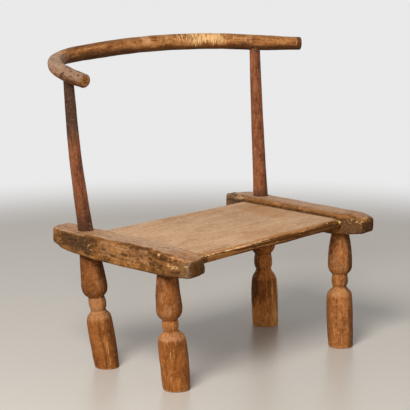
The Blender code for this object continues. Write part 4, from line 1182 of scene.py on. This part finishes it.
# The point of the branch that each pin crosses
PIN_CROSSINGS = {"left_pin": 1, "right_pin": 7}
for seed, (name, index) in enumerate(PIN_CROSSINGS.items(), start=1):
    crossing = np.array(BACK_POINTS[index])
    outside = np.cross(np.subtract(BACK_POINTS[index + 1], BACK_POINTS[index - 1]), (0.0, 0.0, 1.0))
    outside = normed(outside) * (1.0 if outside[1] > 0.0 else -1.0)
    outer = BACK_RADII[index] - 0.0004
    cap = np.linspace(0.15, 1.0, PIN_CAP)
    body = np.linspace(-PIN_INNER, outer, PIN_ROWS)[1:]
    reach = np.concatenate([0.0 * cap - PIN_INNER, body, 0.0 * cap + outer])
    radius = np.concatenate([cap, np.linspace(0.9, 1.0, PIN_ROWS)[1:], cap[::-1] * 0.97]) * PIN_RADIUS
    angle = run(0.0, 2.0 * np.pi, PIN_COLUMNS)
    whittled = 1.0 - 0.8 * (1.0 - facets(angle, 7, seed))
    level = np.cross((0.0, 0.0, 1.0), outside)
    round_about = spokes(angle, level, np.cross(outside, level))
    grid = crossing + reach[:, None, None] * outside + (radius[:, None] * whittled)[..., None] * round_about
    grid[-PIN_CAP:] -= (0.0003 * lattice_noise(grid[-PIN_CAP:], 0.0012, seed))[..., None] * outside
    grain = np.stack([np.broadcast_to(reach[:, None], grid.shape[:2]), grid[..., 2], grid[..., 0]], axis=-1)
    piece = add_skin(name + "_peg", grid, grain, {"soiled": 0.25, "rubbed": 0.1}, pin_wood)
    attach(piece, "root")
    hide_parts(name)


# Stage. A plain pale floor, matte with a faint sheen, that carries the chair's shadow.
# Far out it fades to the white of the backdrop, so that no edge or horizon shows from any side.

FLOOR_COLOUR = (0.55, 0.50, 0.435)
FLOOR_STEPS = 96
FLOOR_RINGS = (0.0004, 0.3, 0.6, 0.9, 1.2, 1.6, 2.2, 3.5, 6.0, 12.0)
BACKDROP = 0.82
FADE_START = 1.15
FADE_END = 1.75
rings = np.array(FLOOR_RINGS)[:, None]
angle = run(0.0, 2.0 * np.pi, FLOOR_STEPS)
disc = np.stack([rings * np.cos(angle), rings * np.sin(angle), 0.0 * rings * angle - 0.0002], axis=-1)
row = np.arange(len(rings) - 1)[:, None] * FLOOR_STEPS
column = np.arange(FLOOR_STEPS)[None, :]
beside = (column + 1) % FLOOR_STEPS
further = row + FLOOR_STEPS
quads = np.stack([row + column, further + column, further + beside, row + beside], axis=-1)
floor_mesh = bpy.data.meshes.new("floor")
floor_mesh.from_pydata(disc.reshape(-1, 3).tolist(), [], quads.reshape(-1, 4).tolist())
floor_material = bpy.data.materials.new("pale_floor")
floor_material.use_nodes = True
finish = Finish(floor_material.node_tree)


def seen_by_eye(finish):
    """1 for rays that show a surface as it is: from the camera, in a reflection or through glass."""
    path = [finish.node("ShaderNodeLightPath", {}, {}, output=name)
            for name in ("Is Camera Ray", "Is Glossy Ray", "Is Transmission Ray")]
    either = path[0] + path[1] + path[2]
    return finish.band(either, 0.0, 1.0)


place = finish.node("ShaderNodeTexCoord", {}, {}, output=3)
flat_place = finish.node("ShaderNodeVectorMath", {"operation": "MULTIPLY"}, {0: place, 1: (1.0, 1.0, 0.0)})
away = finish.node("ShaderNodeVectorMath", {"operation": "LENGTH"}, {0: flat_place}, output=1)
sockets = {"Base Color": rgba(FLOOR_COLOUR), "Roughness": 0.34, "Specular IOR Level": 0.35}
ground = finish.node("ShaderNodeBsdfPrincipled", {}, sockets)
glow = finish.node("ShaderNodeEmission", {}, {"Color": rgba((BACKDROP,) * 3), "Strength": 1.0})
fade = finish.band(away, FADE_START, FADE_END) * seen_by_eye(finish)
shader = finish.node("ShaderNodeMixShader", {}, {0: fade, 1: ground, 2: glow})
finish.node("ShaderNodeOutputMaterial", {}, {"Surface": shader})
floor_mesh.materials.append(floor_material)
floor = bpy.data.objects.new("floor", floor_mesh)
bpy.context.scene.collection.objects.link(floor)
floor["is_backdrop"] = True


# Studio light. One broad soft lamp high on the left, and a weak one low on the right.
# A dim even light comes from all round; to the eye, that surround is the white backdrop.

AMBIENT = 0.28
world = bpy.data.worlds.new("studio")
world.use_nodes = True
bpy.context.scene.world = world
finish = Finish(world.node_tree)
strength = AMBIENT + (BACKDROP - AMBIENT) * seen_by_eye(finish)
sky = finish.node("ShaderNodeBackground", {}, {"Color": rgba((1.0, 1.0, 1.0)), "Strength": strength})
finish.node("ShaderNodeOutputWorld", {}, {"Surface": sky})
LAMPS = {
    "key": dict(place=(-1.92, -0.82, 2.05), size=1.2, power=83.0),
    "fill": dict(place=(1.70, -1.50, 0.70), size=1.3, power=1.5),
}
LAMP_AIM = np.array([0.0, 0.0, 0.26])
for name, lamp in LAMPS.items():
    light = bpy.data.lights.new(name, "AREA")
    light.shape = "DISK"
    light.size = lamp["size"]
    light.energy = lamp["power"]
    holder = bpy.data.objects.new(name, light)
    holder.location = lamp["place"]
    toward = LAMP_AIM - np.array(lamp["place"])
    flat = math.hypot(toward[0], toward[1])
    holder.rotation_euler = (math.atan2(flat, -toward[2]), 0.0, math.atan2(-toward[0], toward[1]))
    bpy.context.scene.collection.objects.link(holder)


# Camera. A long lens that looks at the chair from its front left, a little above the seat.
# Its angle of view is given as a focal length in pixels of the picture's width.

SENSOR_WIDTH = 36.0
PICTURE_WIDTH = 410.0
FOCAL_PIXELS = 1800.0
CAMERA_PLACE = (-2.432369, -2.264058, 0.9717)
CAMERA_AZIMUTH = -46.77
CAMERA_ELEVATION = 11.80
lens = bpy.data.cameras.new("camera")
lens.sensor_width = SENSOR_WIDTH
lens.lens = SENSOR_WIDTH * FOCAL_PIXELS / PICTURE_WIDTH
camera = bpy.data.objects.new("camera", lens)
camera.location = CAMERA_PLACE
camera.rotation_euler = (math.radians(90.0 - CAMERA_ELEVATION), 0.0, math.radians(CAMERA_AZIMUTH))
bpy.context.scene.collection.objects.link(camera)
bpy.context.scene.camera = camera
bpy.context.scene.view_settings.view_transform = "Standard"

bpy.context.view_layer.update()
low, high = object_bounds()
